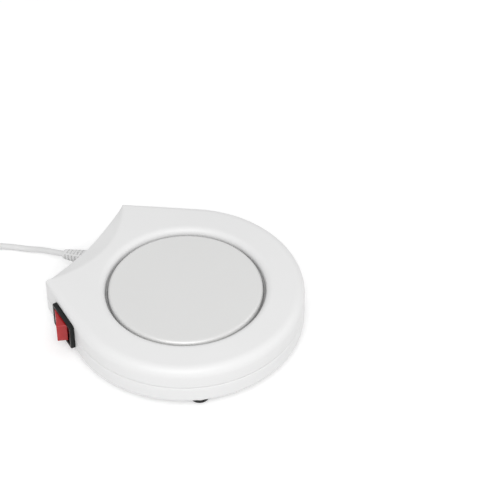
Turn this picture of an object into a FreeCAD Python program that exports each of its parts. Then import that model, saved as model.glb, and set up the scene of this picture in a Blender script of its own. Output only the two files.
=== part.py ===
import FreeCAD, Part
import math
import os
import re
import Sketcher
from FreeCAD import Placement, Rotation, Vector

# Electric mug warmer: a moulded two-part housing round a heated plate, a rocker
# switch on its left side wall and a mains cord from its hollow back edge.
# Frame: Z up, Y to the back where the cord leaves, floor at Z 0 under the feet.

# Driving sizes, in millimetres and degrees.
SIZES = {
    # Housing
    "foot_height": 3.7, "body_radius": 60.3, "corner_share": 0.568, "corner_reach": 2.2,
    "back_hollow": 3.0, "corner_round": 1.5, "body_height": 20.9, "wall": 2.2,
    "edge_round": 5.0, "tip_round": 2.4, "bottom_round": 1.3, "seam_height": 9.4,
    "slope_run": 9.8, "slope_tip_run": 0.5, "slope_tip_drop": 2.35, "slope_drop": 3.6,
    "tongue_height": 1.8, "fit_gap": 0.2,
    # Plate opening, plate and its clamping ring
    "rim_width": 21.1, "groove_width": 1.5, "lip_round": 3.5, "lip_depth": 5.0,
    "plate_drop": 1.6, "plate_sheet": 1.0, "plate_shoulder": 2.0,
    "gasket_height": 1.2, "gasket_gap": 0.3,
    "ring_sheet": 1.0, "ring_margin": 0.5, "ring_screw_gap": 2.7, "ring_post_radius": 2.2,
    "ring_hole_radius": 1.3, "pilot_radius": 1.05,
    # Heater stack under the plate
    "heater_gap": 3.2, "mica_sheet": 0.4, "card_sheet": 0.6, "clamp_sheet": 1.0,
    "ribbon_width": 1.2, "ribbon_height": 0.15, "ribbon_pitch": 5.0, "ribbon_turns": 6,
    "stud_radius": 1.5, "nut_height": 2.4, "nut_radius": 2.9,
    "spacer_radius": 3.0, "spacer_length": 3.0, "shield_inset": 0.5, "shield_sheet": 0.4,
    "fuse_radius": 2.0, "fuse_length": 11.0, "sleeve_wall": 0.3, "fuse_offset": 9.0,
    "fuse_drop_y": 14.0, "tail_angle": 20.0, "lead_clearance": 0.8,
    "strap_sheet": 0.6, "strap_width": 4.0, "bore_gap": 0.05,
    # Feet and housing screws
    "foot_inset": 6.6, "foot_angle": 40.0, "rear_foot_in": 11.25, "rear_foot_ahead": 15.0,
    "foot_radius": 5.0, "foot_bevel": 0.6, "boss_drop": 1.3, "foot_peg_radius": 2.9, "foot_peg_length": 2.0,
    "well_radius": 3.1, "well_depth": 5.6, "well_floor": 1.8, "pillar_radius": 3.6,
    "screw_head_radius": 2.8, "screw_head_height": 1.9, "screw_radius": 1.4, "screw_length": 11.0,
    # Rocker switch
    "switch_from_corner": 23.5, "switch_height": 13.0, "bezel_length": 21.0,
    "bezel_width": 15.0, "bezel_proud": 2.35, "switch_body_length": 19.0,
    "switch_body_width": 13.0, "switch_depth": 11.0, "switch_wall": 0.9,
    "pivot_depth": 3.7, "rocker_tilt": 21.0, "rocker_half": 6.3, "rocker_height": 6.0,
    "rocker_dip": 0.25, "rocker_gap": 0.3, "rocker_skirt": 5.4, "rocker_shell": 0.9,
    "rocker_hub": 2.2, "pin_radius": 1.2, "pin_gap": 0.1,
    "barb_gap": 0.3, "barb_length": 3.2, "barb_out": 0.9,
    "lever_tilt": 6.0, "lever_half": 6.5, "lever_sheet": 0.6, "plunger_radius": 1.0,
    "plunger_reach": 4.2, "blade_length": 7.5, "blade_width": 4.8, "blade_sheet": 0.8,
    "blade_pitch": 6.6, "receptacle_wall": 0.8, "slot_gap": 0.05, "lever_width": 4.0,
    "button_radius": 1.1, "button_height": 0.4,
    # Cord, its strain relief and its clamp
    "cord_radius": 1.6, "exit_height": 13.0, "relief_radius": 4.1, "relief_tip_radius": 2.6,
    "relief_length": 15.8, "relief_collar": 1.45, "relief_droop": 17.5, "relief_neck_radius": 2.9,
    "relief_flange_radius": 4.4, "relief_flange": 1.6, "relief_grooves": 5,
    "groove_first": 2.6, "groove_pitch": 2.5, "groove_cut": 1.0, "groove_depth": 0.75,
    "anvil_width": 16.0, "anvil_depth": 5.5, "anvil_inset": 13.5, "clamp_bar": 2.0,
    "bar_hole_radius": 1.2, "clamp_screw_apart": 11.0, "tail_length": 17.0,
    "wire_radius": 0.75, "wire_height": 8.0, "splice_radius": 1.4, "splice_length": 7.0,
    "coil_pitch": 4.3, "coil_layer": 3.9, "coil_inner": 13.2, "coil_heading": 121.6,
    "tie_sheet": 0.4, "tie_width": 4.0,
    "plug_length": 25.0, "plug_width": 18.0, "plug_height": 12.0, "plug_neck": 9.0,
    "prong_length": 16.5, "prong_width": 6.3, "prong_sheet": 1.5, "prong_apart": 12.7,
}

# Sizes that follow from the driving ones.
DERIVED = {
    "corner_x": "body_radius * corner_share",
    "corner_y": "body_radius + corner_reach",
    "plate_y": "(body_radius - corner_y + corner_loss) / 2",
    "back_angle": "asin(corner_x / back_radius)",
    "corner_loss": "corner_round * ((sin(side_angle) + cos(back_angle))"
                   " / (1 + sin(side_angle - back_angle)) - 1)",
    "top_z": "foot_height + body_height",
    "seam_z": "foot_height + seam_height",
    "side_angle": "atan2(corner_y; corner_x)"
                  " - acos(body_radius / sqrt(corner_x ^ 2 + corner_y ^ 2))",
    "back_radius": "(corner_x ^ 2 + back_hollow ^ 2) / (2 * back_hollow)",
    "back_centre": "plate_y + corner_y - back_hollow + back_radius",
    "plate_radius": "body_radius - rim_width",
    "hole_radius": "plate_radius + groove_width",
    "flange_radius": "hole_radius + lip_round",
    "ring_screw_circle": "flange_radius + ring_screw_gap",
    "heater_radius": "plate_radius - heater_gap",
    "shield_radius": "heater_radius - shield_inset",
    "front_foot_x": "(body_radius - foot_inset) * cos(foot_angle)",
    "front_foot_y": "(body_radius - foot_inset) * sin(foot_angle)",
    "rear_foot_x": "corner_x - rear_foot_in",
    "rear_foot_y": "corner_y - rear_foot_ahead",
    "back_wall_y": "plate_y + corner_y - back_hollow",
    "lip_z": "top_z - lip_depth",
    "flange_z": "lip_z - gasket_height - plate_sheet",
    "ring_z": "flange_z - ring_sheet",
    "plate_top": "top_z - plate_drop",
    "pan_z": "plate_top - plate_sheet",
    "card_z": "pan_z - mica_sheet - card_sheet",
    "clamp_z": "card_z - mica_sheet - clamp_sheet",
    "spacer_z": "clamp_z - nut_height - spacer_length",
    "shield_z": "spacer_z - shield_sheet",
    "stud_z": "shield_z - nut_height - 0.5",
    "well_top": "foot_height - boss_drop + well_depth",
    "stud_circle": "heater_radius - 2 * ribbon_pitch - ribbon_width / 2",
    "boss_top": "well_top + well_floor",
    "pad_top": "foot_height - boss_drop",
    "switch_x": "-(corner_x + switch_from_corner * sin(side_angle))",
    "switch_y": "plate_y + corner_y - switch_from_corner * cos(side_angle)",
    "pivot_x": "bezel_proud - pivot_depth",
    "rocker_end_x": "rocker_height + rocker_dip",
    "rocker_width": "switch_body_width - 2 * switch_wall - 2 * rocker_gap",
    "lever_x": "pivot_x - plunger_reach - 0.15 - lever_sheet",
}

doc = FreeCAD.newDocument("mug_warmer")
sheet = doc.addObject("Spreadsheet::Sheet", "Sizes")
for row, (alias, size) in enumerate(SIZES.items(), start=1):
    sheet.set(f"A{row}", alias)
    sheet.set(f"B{row}", str(size))
    sheet.setAlias(f"B{row}", alias)
doc.recompute()


def formula(text):
    """A formula in plain size names, spelled out in cells of the sheet."""
    def spell(match):
        word = match.group(0)
        if word in DERIVED:
            return "(" + formula(DERIVED[word]) + ")"
        return "Sizes." + word if word in SIZES else word
    return re.sub(r"[a-z][a-z_0-9]*", spell, str(text))


def number(text):
    """The value of a formula, as a plain number."""
    value = sheet.evalExpression(formula(text))
    return float(getattr(value, "Value", value))


def bind(thing, **formulas):
    """Tie properties of an object to formulas."""
    for name, text in formulas.items():
        thing.setExpression(name, formula(text))
    return thing


def put(thing, x="0", y="0", z="0", turn=None):
    """Tie the place of an object, and its turn about Z, to formulas."""
    for axis, text in (("x", x), ("y", y), ("z", z)):
        thing.setExpression(f"Placement.Base.{axis}", formula(text))
    if turn is not None:
        thing.setExpression("Placement.Rotation.Angle", formula(turn))
    return thing


def cylinder(name, radius, height, x="0", y="0", z="0"):
    piece = doc.addObject("Part::Cylinder", name)
    return put(bind(piece, Radius=radius, Height=height), x, y, z)


def lying_disc(name, radius, height, x="0", y="0"):
    """A cylinder whose axis points along X."""
    disc = cylinder(name, radius, height, x, y)
    disc.Placement.Rotation = Rotation(Vector(0, 1, 0), 90)
    return disc


def box(name, length, width, height, x="0", y="0", z="0"):
    """A box from its lowest corner."""
    piece = doc.addObject("Part::Box", name)
    return put(bind(piece, Length=length, Width=width, Height=height), x, y, z)


def fuse(name, *pieces):
    joined = doc.addObject("Part::MultiFuse", name)
    joined.Shapes = list(pieces)
    return joined


def cut(name, base, *tools):
    result = doc.addObject("Part::Cut", name)
    result.Base = base
    result.Tool = tools[0] if len(tools) == 1 else fuse(name + "_tools", *tools)
    return result


def group(name, pieces):
    """Like pieces that share one node as separate solids."""
    held = doc.addObject("Part::Compound", name)
    held.Links = pieces
    return held


def tube(name, outer, inner, height, x="0", y="0", z="0"):
    hole = cylinder(name + "_bore", inner, f"{height} + 2", x, y, f"{z} - 1")
    return cut(name, cylinder(name + "_blank", outer, height, x, y, z), hole)


def solid(name, shape):
    """A piece whose shape comes from a route or a loft."""
    piece = doc.addObject("Part::Feature", name)
    piece.Shape = shape
    return piece


def plane(body, role):
    return next(item for item in body.Origin.OriginFeatures if item.Role == role)


def sketch_on(body, name, role, lift="0"):
    """An empty sketch on one of a body's own origin planes."""
    sketch = body.newObject("Sketcher::SketchObject", name)
    sketch.AttachmentSupport = [(plane(body, role), "")]
    sketch.MapMode = "FlatFace"
    sketch.setExpression("AttachmentOffset.Base.z", formula(lift))
    return sketch


def limit(sketch, text, *what):
    """A sketch dimension tied to a formula."""
    index = sketch.addConstraint(Sketcher.Constraint(*what, number(text)))
    sketch.setExpression(f"Constraints[{index}]", formula(text))


def straight_sides(sketch, points):
    """A closed outline of straight sides through points given as formulas."""
    corners = [Vector(number(x), number(y), 0) for x, y in points]
    count = len(corners)
    for i in range(count):
        sketch.addGeometry(Part.LineSegment(corners[i], corners[(i + 1) % count]))
    for i in range(count):
        sketch.addConstraint(Sketcher.Constraint("Coincident", i, 2, (i + 1) % count, 1))
    for i, (x, y) in enumerate(points):
        limit(sketch, x, "DistanceX", -1, 1, i, 1)
        limit(sketch, y, "DistanceY", -1, 1, i, 1)


def turned(name, points):
    """A body of revolution about Z from points of (radius, height)."""
    body = doc.addObject("PartDesign::Body", name)
    sketch = sketch_on(body, name + "_section", "XZ_Plane")
    straight_sides(sketch, points)
    turning = body.newObject("PartDesign::Revolution", name + "_turning")
    turning.Profile = sketch
    turning.ReferenceAxis = (sketch, ["V_Axis"])
    turning.Angle = 360
    return body


def plate_of(name, points, height, lift="0"):
    """A body padded upwards from an outline of points in plan."""
    body = doc.addObject("PartDesign::Body", name)
    sketch = sketch_on(body, name + "_outline", "XY_Plane", lift)
    straight_sides(sketch, points)
    pad = body.newObject("PartDesign::Pad", name + "_pad")
    pad.Profile = sketch
    bind(pad, Length=height)
    return body


def edges(shape, test):
    """Names of the edges for which the test holds."""
    return [f"Edge{i}" for i, edge in enumerate(shape.Edges, start=1) if test(edge)]


def flat_at(edge, height):
    box_of = edge.BoundBox
    return abs(box_of.ZMin - height) < 1e-4 and abs(box_of.ZMax - height) < 1e-4


def housing_outline(sketch, inset):
    """The plan of the housing, drawn in by an inset: a round front, two straight
    side walls tangent to it and a hollow back edge between two corners."""
    inset_size = number(inset)
    middle = number("plate_y")
    front = number("body_radius") - inset_size
    back = number("back_radius") + inset_size
    back_middle = number("back_centre")
    angle = math.radians(number("side_angle"))
    touch = Vector(front * math.cos(angle), middle + front * math.sin(angle), 0)
    along = Vector(-math.sin(angle), math.cos(angle), 0)
    # The corner is where the side wall meets the hollow of the back.
    gap = touch - Vector(0, back_middle, 0)
    reach = gap.dot(along)
    run = -reach - math.sqrt(reach * reach - gap.dot(gap) + back * back)
    corner = touch + along * run
    spread = math.atan2(corner.x, back_middle - corner.y)
    up = Vector(0, 0, 1)
    front_circle = Part.Circle(Vector(0, middle, 0), up, front)
    back_circle = Part.Circle(Vector(0, back_middle, 0), up, back)
    sketch.addGeometry(Part.ArcOfCircle(front_circle, math.pi - angle, 2 * math.pi + angle))
    sketch.addGeometry(Part.LineSegment(touch, corner))
    sketch.addGeometry(
        Part.ArcOfCircle(back_circle, 1.5 * math.pi - spread, 1.5 * math.pi + spread))
    left_touch = Vector(-touch.x, touch.y, 0)
    left_corner = Vector(-corner.x, corner.y, 0)
    sketch.addGeometry(Part.LineSegment(left_corner, left_touch))
    rule = Sketcher.Constraint
    sketch.addConstraint(rule("Tangent", 0, 2, 1, 1))
    sketch.addConstraint(rule("Coincident", 1, 2, 2, 2))
    sketch.addConstraint(rule("Coincident", 2, 1, 3, 1))
    sketch.addConstraint(rule("Tangent", 3, 2, 0, 1))
    sketch.addConstraint(rule("PointOnObject", 0, 3, -2))
    sketch.addConstraint(rule("PointOnObject", 2, 3, -2))
    sketch.addConstraint(rule("Equal", 1, 3))
    limit(sketch, "plate_y", "DistanceY", -1, 1, 0, 3)
    limit(sketch, "back_centre", "DistanceY", -1, 1, 2, 3)
    limit(sketch, f"body_radius - ({inset})", "Radius", 0)
    limit(sketch, f"back_radius + ({inset})", "Radius", 2)
    limit(sketch, "90 deg + side_angle", "Angle", -1, 1, 1, 1)


def housing_body(name, inset, low, high):
    """A solid of the housing's plan between two heights."""
    body = doc.addObject("PartDesign::Body", name)
    sketch = sketch_on(body, name + "_outline", "XY_Plane", low)
    housing_outline(sketch, inset)
    pad = body.newObject("PartDesign::Pad", name + "_pad")
    pad.Profile = sketch
    bind(pad, Length=f"({high}) - ({low})")
    doc.recompute()
    return body


def round_top(body, height, radius):
    """Round the upper edge of the front and of both side walls."""
    doc.recompute()
    base = body.Tip
    rim = edges(base.Shape, lambda edge: flat_at(edge, number(height)))
    rim.remove(max(rim, key=lambda name: base.Shape.getElement(name).CenterOfMass.y))
    feature = body.newObject("PartDesign::Fillet", body.Label + "_round")
    feature.Base = (base, rim)
    bind(feature, Radius=radius)
    doc.recompute()


def round_outer(name, piece, height):
    """Round the upper outer edge, full at the front and finer towards the back
    corners, then the upright edges of those corners."""
    shape = piece.Shape
    full = number("edge_round")
    fine = number("tip_round")
    rim = edges(shape, lambda edge: flat_at(edge, number(height)))
    rim.remove(max(rim, key=lambda edge: shape.getElement(edge).CenterOfMass.y))
    sizes = []
    for edge in rim:
        ends = [point.Point.y for point in shape.getElement(edge).Vertexes]
        fore, aft = [fine if y > number("plate_y + corner_y") - 5 else full
                     for y in (ends[0], ends[-1])]
        sizes.append((int(edge[4:]), fore, aft))
    rounded = doc.addObject("Part::Fillet", name + "_round")
    rounded.Base = piece
    rounded.Edges = sizes
    doc.recompute()

    def back_corner(edge):
        upright = abs(edge.tangentAt(edge.FirstParameter).z) > 0.99
        return upright and edge.CenterOfMass.y > number("back_wall_y")
    cornered = doc.addObject("Part::Fillet", name + "_corners")
    cornered.Base = rounded
    size = number("corner_round")
    cornered.Edges = [(int(edge[4:]), size, size)
                      for edge in edges(rounded.Shape, back_corner)]
    doc.recompute()
    return cornered


def round_corners(body, radius):
    """Round the two upright edges of the back corners."""
    doc.recompute()
    base = body.Tip

    def back_corner(edge):
        upright = abs(edge.tangentAt(edge.FirstParameter).z) > 0.99
        return upright and edge.CenterOfMass.y > number("back_wall_y")
    feature = body.newObject("PartDesign::Fillet", body.Label + "_corners")
    feature.Base = (base, edges(base.Shape, back_corner))
    bind(feature, Radius=radius)
    doc.recompute()


def back_slope(name, lowered="0"):
    """The space above the slope at the back: sections across the housing, each from
    the ridge on the flat top down to the back wall, narrow at the corners and wide
    and deepest in the middle."""
    reach = number("corner_x")
    radius = number("back_radius")
    top = number("top_z") - number(lowered)
    beyond = 0.6
    sections = []
    for share in (-1.08, -1, -0.94, -0.8, -0.6, -0.4, -0.2, 0, 0.2, 0.4, 0.6, 0.8, 0.94, 1, 1.08):
        x = share * reach
        inside = max(0.0, 1 - share * share)
        wall_y = number("back_centre") - math.sqrt(radius * radius - x * x)
        run = number("slope_tip_run") + (number("slope_run") - number("slope_tip_run")) * inside
        depth = number("slope_tip_drop") \
            + (number("slope_drop") - number("slope_tip_drop")) / (1 + (share / 0.35) ** 2)
        foot = Vector(x, wall_y + beyond, top - depth * (run + beyond) / run)
        corners = [Vector(x, wall_y - run, top), foot, Vector(x, wall_y + beyond, top + 4),
                   Vector(x, wall_y - run, top + 4)]
        sections.append(Part.makePolygon(corners + corners[:1]))
    return solid(name, Part.makeLoft(sections, True, False))


def switch_frame(piece, x="0", y="0", z="0", turn="0 deg"):
    """Carry a piece from the switch's own frame to the side wall: there X points
    out of the wall, Y along it to the front, Z up, from the switch's middle."""
    face = "(180 deg - side_angle)"
    put(piece,
        f"switch_x + ({x}) * cos{face} - ({y}) * sin{face}",
        f"switch_y + ({x}) * sin{face} + ({y}) * cos{face}",
        f"switch_height + ({z})", f"{face} + ({turn})")
    return piece


nodes = {}


def node(name, piece):
    """Give a finished sub-part its name."""
    piece.Label = name
    nodes[name] = piece


FEET = [("front_foot_x", "plate_y - front_foot_y"), ("-front_foot_x", "plate_y - front_foot_y"),
        ("rear_foot_x", "plate_y + rear_foot_y"), ("-rear_foot_x", "plate_y + rear_foot_y")]
RING_POSTS = [("ring_screw_circle * cos(%d)" % a, "plate_y + ring_screw_circle * sin(%d)" % a)
              for a in (30, 150, 270)]
STUDS = [("stud_circle * cos(%d)" % a, "plate_y + stud_circle * sin(%d)" % a)
         for a in (30, 150, 270)]


# Top cover: a white moulded shell with the plate opening, the ledge that the
# plate is clamped under, posts for the clamping ring and pillars for the screws.
def top_cover():
    blank = round_outer("cover", housing_body("cover_blank", "0", "seam_z", "top_z"), "top_z")
    hollow = housing_body("cover_hollow", "wall", "seam_z - 1", "top_z - wall")
    round_top(hollow, "top_z - wall", "edge_round - wall")
    lowered = "wall * 1.07"
    hollow_cut = cut("cover_hollow_sloped", hollow, back_slope("cover_slope_inner", lowered))
    shell = cut("cover_shell", blank, back_slope("cover_slope"), hollow_cut)
    rebate = housing_body("cover_rebate", "(wall - fit_gap) / 2", "seam_z - 1",
                          "seam_z + tongue_height + fit_gap")
    lip = cylinder("cover_lip", "hole_radius + wall", "lip_depth - wall / 2",
                   "0", "plate_y", "lip_z")
    posts = [cylinder(f"cover_post_{i}", "ring_post_radius", "top_z - wall / 2 - flange_z",
                      x, y, "flange_z") for i, (x, y) in enumerate(RING_POSTS)]
    pillars = [cylinder(f"cover_pillar_{i}", "pillar_radius", "top_z - wall / 2 - boss_top",
                        x, y, "boss_top") for i, (x, y) in enumerate(FEET)]
    pilots = [cylinder(f"cover_pilot_{i}", "screw_radius + fit_gap / 4",
                       "well_top + screw_length + 0.5 - boss_top", x, y, "boss_top")
              for i, (x, y) in enumerate(FEET)]
    ring_pilots = [cylinder(f"cover_ring_pilot_{i}", "pilot_radius", "4", x, y, "flange_z")
                   for i, (x, y) in enumerate(RING_POSTS)]
    opening = cylinder("cover_opening", "hole_radius", "top_z", "0", "plate_y", "0")
    solid_cover = fuse("cover_solid", cut("cover_rebated", shell, rebate), lip, *posts, *pillars)
    cleared = cut("cover_cleared", solid_cover, opening, *pilots, *ring_pilots,
                  *wall_openings("cover"))
    doc.recompute()
    top = number("top_z")

    def opening_edge(edge):
        return flat_at(edge, top) and hasattr(edge.Curve, "Radius") \
            and abs(edge.Curve.Radius - number("hole_radius")) < 1e-4
    rounded = doc.addObject("Part::Fillet", "cover_lip_round")
    rounded.Base = cleared
    size = number("lip_round")
    rounded.Edges = [(int(name[4:]), size, size) for name in edges(cleared.Shape, opening_edge)]
    node("top_cover", rounded)


def wall_openings(name):
    """The switch's panel opening and the cord's notch, through both shells."""
    panel = box(name + "_panel", "wall * 4", "switch_body_length + fit_gap",
                "switch_body_width + fit_gap")
    switch_frame(panel, "-wall * 3", "-(switch_body_length + fit_gap) / 2",
                 "-(switch_body_width + fit_gap) / 2")
    notch = cylinder(name + "_notch", "relief_neck_radius + fit_gap / 2", "wall * 4",
                     "0", "back_wall_y + 2 * wall", "exit_height")
    notch.Placement.Rotation = Rotation(Vector(1, 0, 0), 90)
    return panel, notch


# Base cover: the lower tray. A tongue round its rim locates the top cover, and a
# boss at each foot holds a screw in a well that the rubber foot closes.
def base_cover():
    blank = housing_body("base_blank", "0", "foot_height", "seam_z")
    round_corners(blank, "corner_round")
    bottom = number("foot_height")
    feature = blank.newObject("PartDesign::Fillet", "base_bottom_round")
    feature.Base = (blank.Group[-2], edges(blank.Group[-2].Shape, lambda e: flat_at(e, bottom)))
    bind(feature, Radius="bottom_round")
    tongue = housing_body("base_tongue", "(wall + fit_gap) / 2", "foot_height + wall",
                          "seam_z + tongue_height")
    hollow = housing_body("base_hollow", "wall", "foot_height + wall",
                          "seam_z + tongue_height + 1")
    shell = cut("base_shell", fuse("base_rim", blank, tongue), hollow)
    bosses = [cylinder(f"base_boss_{i}", "foot_radius + 0.2", "boss_top - pad_top", x, y, "pad_top")
              for i, (x, y) in enumerate(FEET)]
    wells = [cylinder(f"base_well_{i}", "well_radius", "well_depth + 1", x, y, "pad_top - 1")
             for i, (x, y) in enumerate(FEET)]
    holes = [cylinder(f"base_hole_{i}", "screw_radius + fit_gap", "well_floor + 1", x, y,
                      "well_top - 0.5") for i, (x, y) in enumerate(FEET)]
    anvil = box("base_anvil", "anvil_width", "anvil_depth",
                "exit_height - cord_radius - foot_height - wall / 2",
                "-anvil_width / 2", "back_wall_y - anvil_inset", "foot_height + wall / 2")
    pilots = [cylinder(f"anvil_pilot_{side}", "pilot_radius", "6", f"{side} * clamp_screw_apart / 2",
                       "back_wall_y - anvil_inset + anvil_depth / 2",
                       "exit_height - cord_radius - 5.5") for side in (-1, 1)]
    joined = fuse("base_solid", shell, anvil, *bosses)
    node("base_cover", cut("base_cleared", joined, *wells, *holes, *pilots,
                           *wall_openings("base")))


# Rubber feet: a pad with a peg that plugs the screw well.
def feet_and_screws():
    pads = []
    screws = []
    for i, (x, y) in enumerate(FEET):
        pad = turned(f"foot_pad_{i}", [
            ("0", "0"), ("foot_radius - foot_bevel", "0"), ("foot_radius", "foot_bevel"),
            ("foot_radius", "pad_top"), ("foot_peg_radius", "pad_top"),
            ("foot_peg_radius", "pad_top + foot_peg_length"), ("0", "pad_top + foot_peg_length")])
        pads.append(put(pad, x, y))
        screw = turned(f"housing_screw_{i}", [
            ("0", "0.9"), ("0.9", "0"), ("screw_head_radius - 0.4", "0"),
            ("screw_head_radius", "0.5"), ("screw_head_radius", "screw_head_height"),
            ("screw_radius", "screw_head_height"),
            ("screw_radius", "screw_head_height + screw_length - 1"),
            ("0", "screw_head_height + screw_length")])
        screws.append(put(screw, x, y, "well_top - screw_head_height"))
    node("foot_pads", group("foot_pad_set", pads))
    node("housing_screws", group("housing_screw_set", screws))


# Heating plate: a pressed aluminium pan, its flange clamped under the cover's lip
# on a silicone gasket by a steel ring with three screws.
def plate_parts():
    pan = turned("plate_pan", [
        ("0", "pan_z"), ("plate_radius - plate_sheet", "pan_z"),
        ("plate_radius - plate_sheet", "flange_z"), ("flange_radius", "flange_z"),
        ("flange_radius", "flange_z + plate_sheet"), ("plate_radius", "flange_z + plate_sheet"),
        ("plate_radius", "plate_top"), ("0", "plate_top")])
    doc.recompute()
    top = number("plate_top")
    shoulder = pan.newObject("PartDesign::Fillet", "plate_shoulder_round")
    shoulder.Base = (pan.Group[-2], edges(pan.Group[-2].Shape, lambda e: flat_at(e, top)))
    bind(shoulder, Radius="plate_shoulder")
    node("heating_plate", put(pan, "0", "plate_y"))
    gasket = tube("gasket_ring", "flange_radius", "plate_radius + gasket_gap", "gasket_height",
                  "0", "plate_y", "flange_z + plate_sheet")
    node("plate_gasket", gasket)
    ring = tube("ring_disc", "flange_radius + ring_margin", "plate_radius - plate_sheet", "ring_sheet",
                "0", "plate_y", "ring_z")
    ears = [cylinder(f"ring_ear_{i}", "ring_post_radius + 1", "ring_sheet", x, y, "ring_z")
            for i, (x, y) in enumerate(RING_POSTS)]
    clearance = cylinder("ring_inside", "plate_radius - plate_sheet", "ring_sheet + 2",
                         "0", "plate_y", "ring_z - 1")
    holes = [cylinder(f"ring_hole_{i}", "ring_hole_radius", "ring_sheet + 2", x, y, "ring_z - 1")
             for i, (x, y) in enumerate(RING_POSTS)]
    node("clamping_ring", cut("ring_drilled", fuse("ring_eared", ring, *ears), clearance, *holes))
    screws = []
    for i, (x, y) in enumerate(RING_POSTS):
        screw = turned(f"ring_screw_{i}", [
            ("0", "-1.4"), ("1.6", "-1.4"), ("2", "-1"), ("2", "0"), ("1", "0"),
            ("1", "4"), ("0", "4.6")])
        screws.append(put(screw, x, y, "ring_z"))
    node("ring_screws", group("ring_screw_set", screws))


# Heater stack: a resistance ribbon on a mica card between two mica sheets, held
# up against the plate by a steel clamp disc on three studs.
def heater_parts():
    def disc(name, radius, height, z, holes=True):
        blank = cylinder(name + "_disc", radius, height, "0", "plate_y", z)
        drills = [cylinder(f"{name}_hole_{i}", "stud_radius + fit_gap", "4", x, y, f"{z} - 1")
                  for i, (x, y) in enumerate(STUDS)]
        return cut(name, blank, *drills)
    node("mica_upper", disc("mica_top", "heater_radius", "mica_sheet", "card_z + card_sheet"))
    node("heater_card", disc("mica_card", "heater_radius", "card_sheet - ribbon_height", "card_z"))
    node("resistance_ribbon", solid("ribbon", ribbon_shape()))
    node("mica_lower", disc("mica_bottom", "heater_radius", "mica_sheet", "card_z - mica_sheet"))
    node("clamp_disc", disc("clamp", "heater_radius", "clamp_sheet", "clamp_z"))
    studs = [cylinder(f"stud_{i}", "stud_radius", "pan_z - stud_z", x, y, "stud_z")
             for i, (x, y) in enumerate(STUDS)]
    node("plate_studs", group("stud_set", studs))
    nuts = []
    spacers = []
    for i, (x, y) in enumerate(STUDS):
        for level, z in enumerate(("clamp_z - nut_height", "shield_z - nut_height")):
            blank = doc.addObject("Part::Prism", f"nut_blank_{i}_{level}")
            blank.Polygon = 6
            put(bind(blank, Circumradius="nut_radius", Height="nut_height"), x, y, z)
            bore = cylinder(f"nut_bore_{i}_{level}", "stud_radius + bore_gap", "nut_height + 2", x, y,
                            z + " - 1")
            nuts.append(cut(f"nut_{i}_{level}", blank, bore))
        spacers.append(tube(f"spacer_{i}", "spacer_radius", "stud_radius + fit_gap",
                            "spacer_length", x, y, "spacer_z"))
    node("stud_nuts", group("nut_set", nuts))
    node("shield_spacers", group("spacer_set", spacers))
    passes = [cylinder(f"shield_pass_{side}", "wire_radius + lead_clearance", "4", "fuse_offset",
                       f"plate_y + {side} * fuse_drop_y", "shield_z - 1") for side in (-1, 1)]
    node("heat_shield", cut("shield_cut", disc("shield", "shield_radius", "shield_sheet",
                                               "shield_z"), *passes))


def ribbon_shape():
    """Concentric runs of flat ribbon, each broken by a gap and linked to the next
    across it, left and right of the gap in turn, as one zigzag track."""
    width = number("ribbon_width")
    height = number("ribbon_height")
    pitch = number("ribbon_pitch")
    turns = int(number("ribbon_turns"))
    outer = number("heater_radius") - pitch / 2
    base = Vector(0, number("plate_y"), number("card_z + card_sheet - ribbon_height"))
    half_gap = 2.0
    track = None
    for turn in range(turns):
        radius = outer - turn * pitch
        if radius - width < 4:
            break
        lane = Part.makeCylinder(radius, height).cut(Part.makeCylinder(radius - width, height))
        gap = Part.makeBox(radius, 2 * half_gap, height, Vector(0, -half_gap, 0))
        lane = lane.cut(gap)
        track = lane if track is None else track.fuse(lane)
        if turn + 1 < turns and radius - pitch - width >= 4:
            side = 1 if turn % 2 == 0 else -1
            low = half_gap if side > 0 else -half_gap - width
            link = Part.makeBox(pitch - width + 0.4, width, height,
                                Vector(radius - pitch - 0.2, low, 0))
            track = track.fuse(link)
    track = track.removeSplitter()
    largest = max(track.Solids, key=lambda piece: piece.Volume)
    largest.translate(base)
    return largest


# Thermal fuse in its sleeve, strapped against the clamp disc.
def fuse_parts():
    height = "(clamp_z - fuse_radius - sleeve_wall)"
    start = "plate_y - fuse_length / 2"

    def lying(name, radius, length, y):
        piece = cylinder(name, radius, length, "fuse_offset", y, height)
        piece.Placement.Rotation = Rotation(Vector(1, 0, 0), -90)
        return piece
    node("thermal_fuse", lying("fuse_can", "fuse_radius", "fuse_length", start))
    outer = lying("sleeve_outer", "fuse_radius + sleeve_wall", "fuse_length + 6", start + " - 3")
    inner = lying("sleeve_inner", "fuse_radius + bore_gap", "fuse_length + 8", start + " - 4")
    node("fuse_sleeve", cut("sleeve", outer, inner))
    reach = "(fuse_radius + sleeve_wall)"
    strap = box("strap_blank", f"2 * {reach} + 2 * strap_sheet + 7", "strap_width",
                f"2 * {reach} + strap_sheet", f"fuse_offset - {reach} - strap_sheet",
                "plate_y - strap_width / 2", f"clamp_z - 2 * {reach} - strap_sheet")
    room = box("strap_room", f"2 * {reach} + 0.1", "6", f"2 * {reach} + 1",
               f"fuse_offset - {reach} - 0.05", "plate_y - 3", f"clamp_z - 2 * {reach} - 0.05")
    step = box("strap_step", "9", "6", f"2 * {reach}", f"fuse_offset + {reach} + strap_sheet",
               "plate_y - 3", f"clamp_z - 2 * {reach} - strap_sheet")
    node("fuse_strap", cut("strap", strap, room, step))


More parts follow.
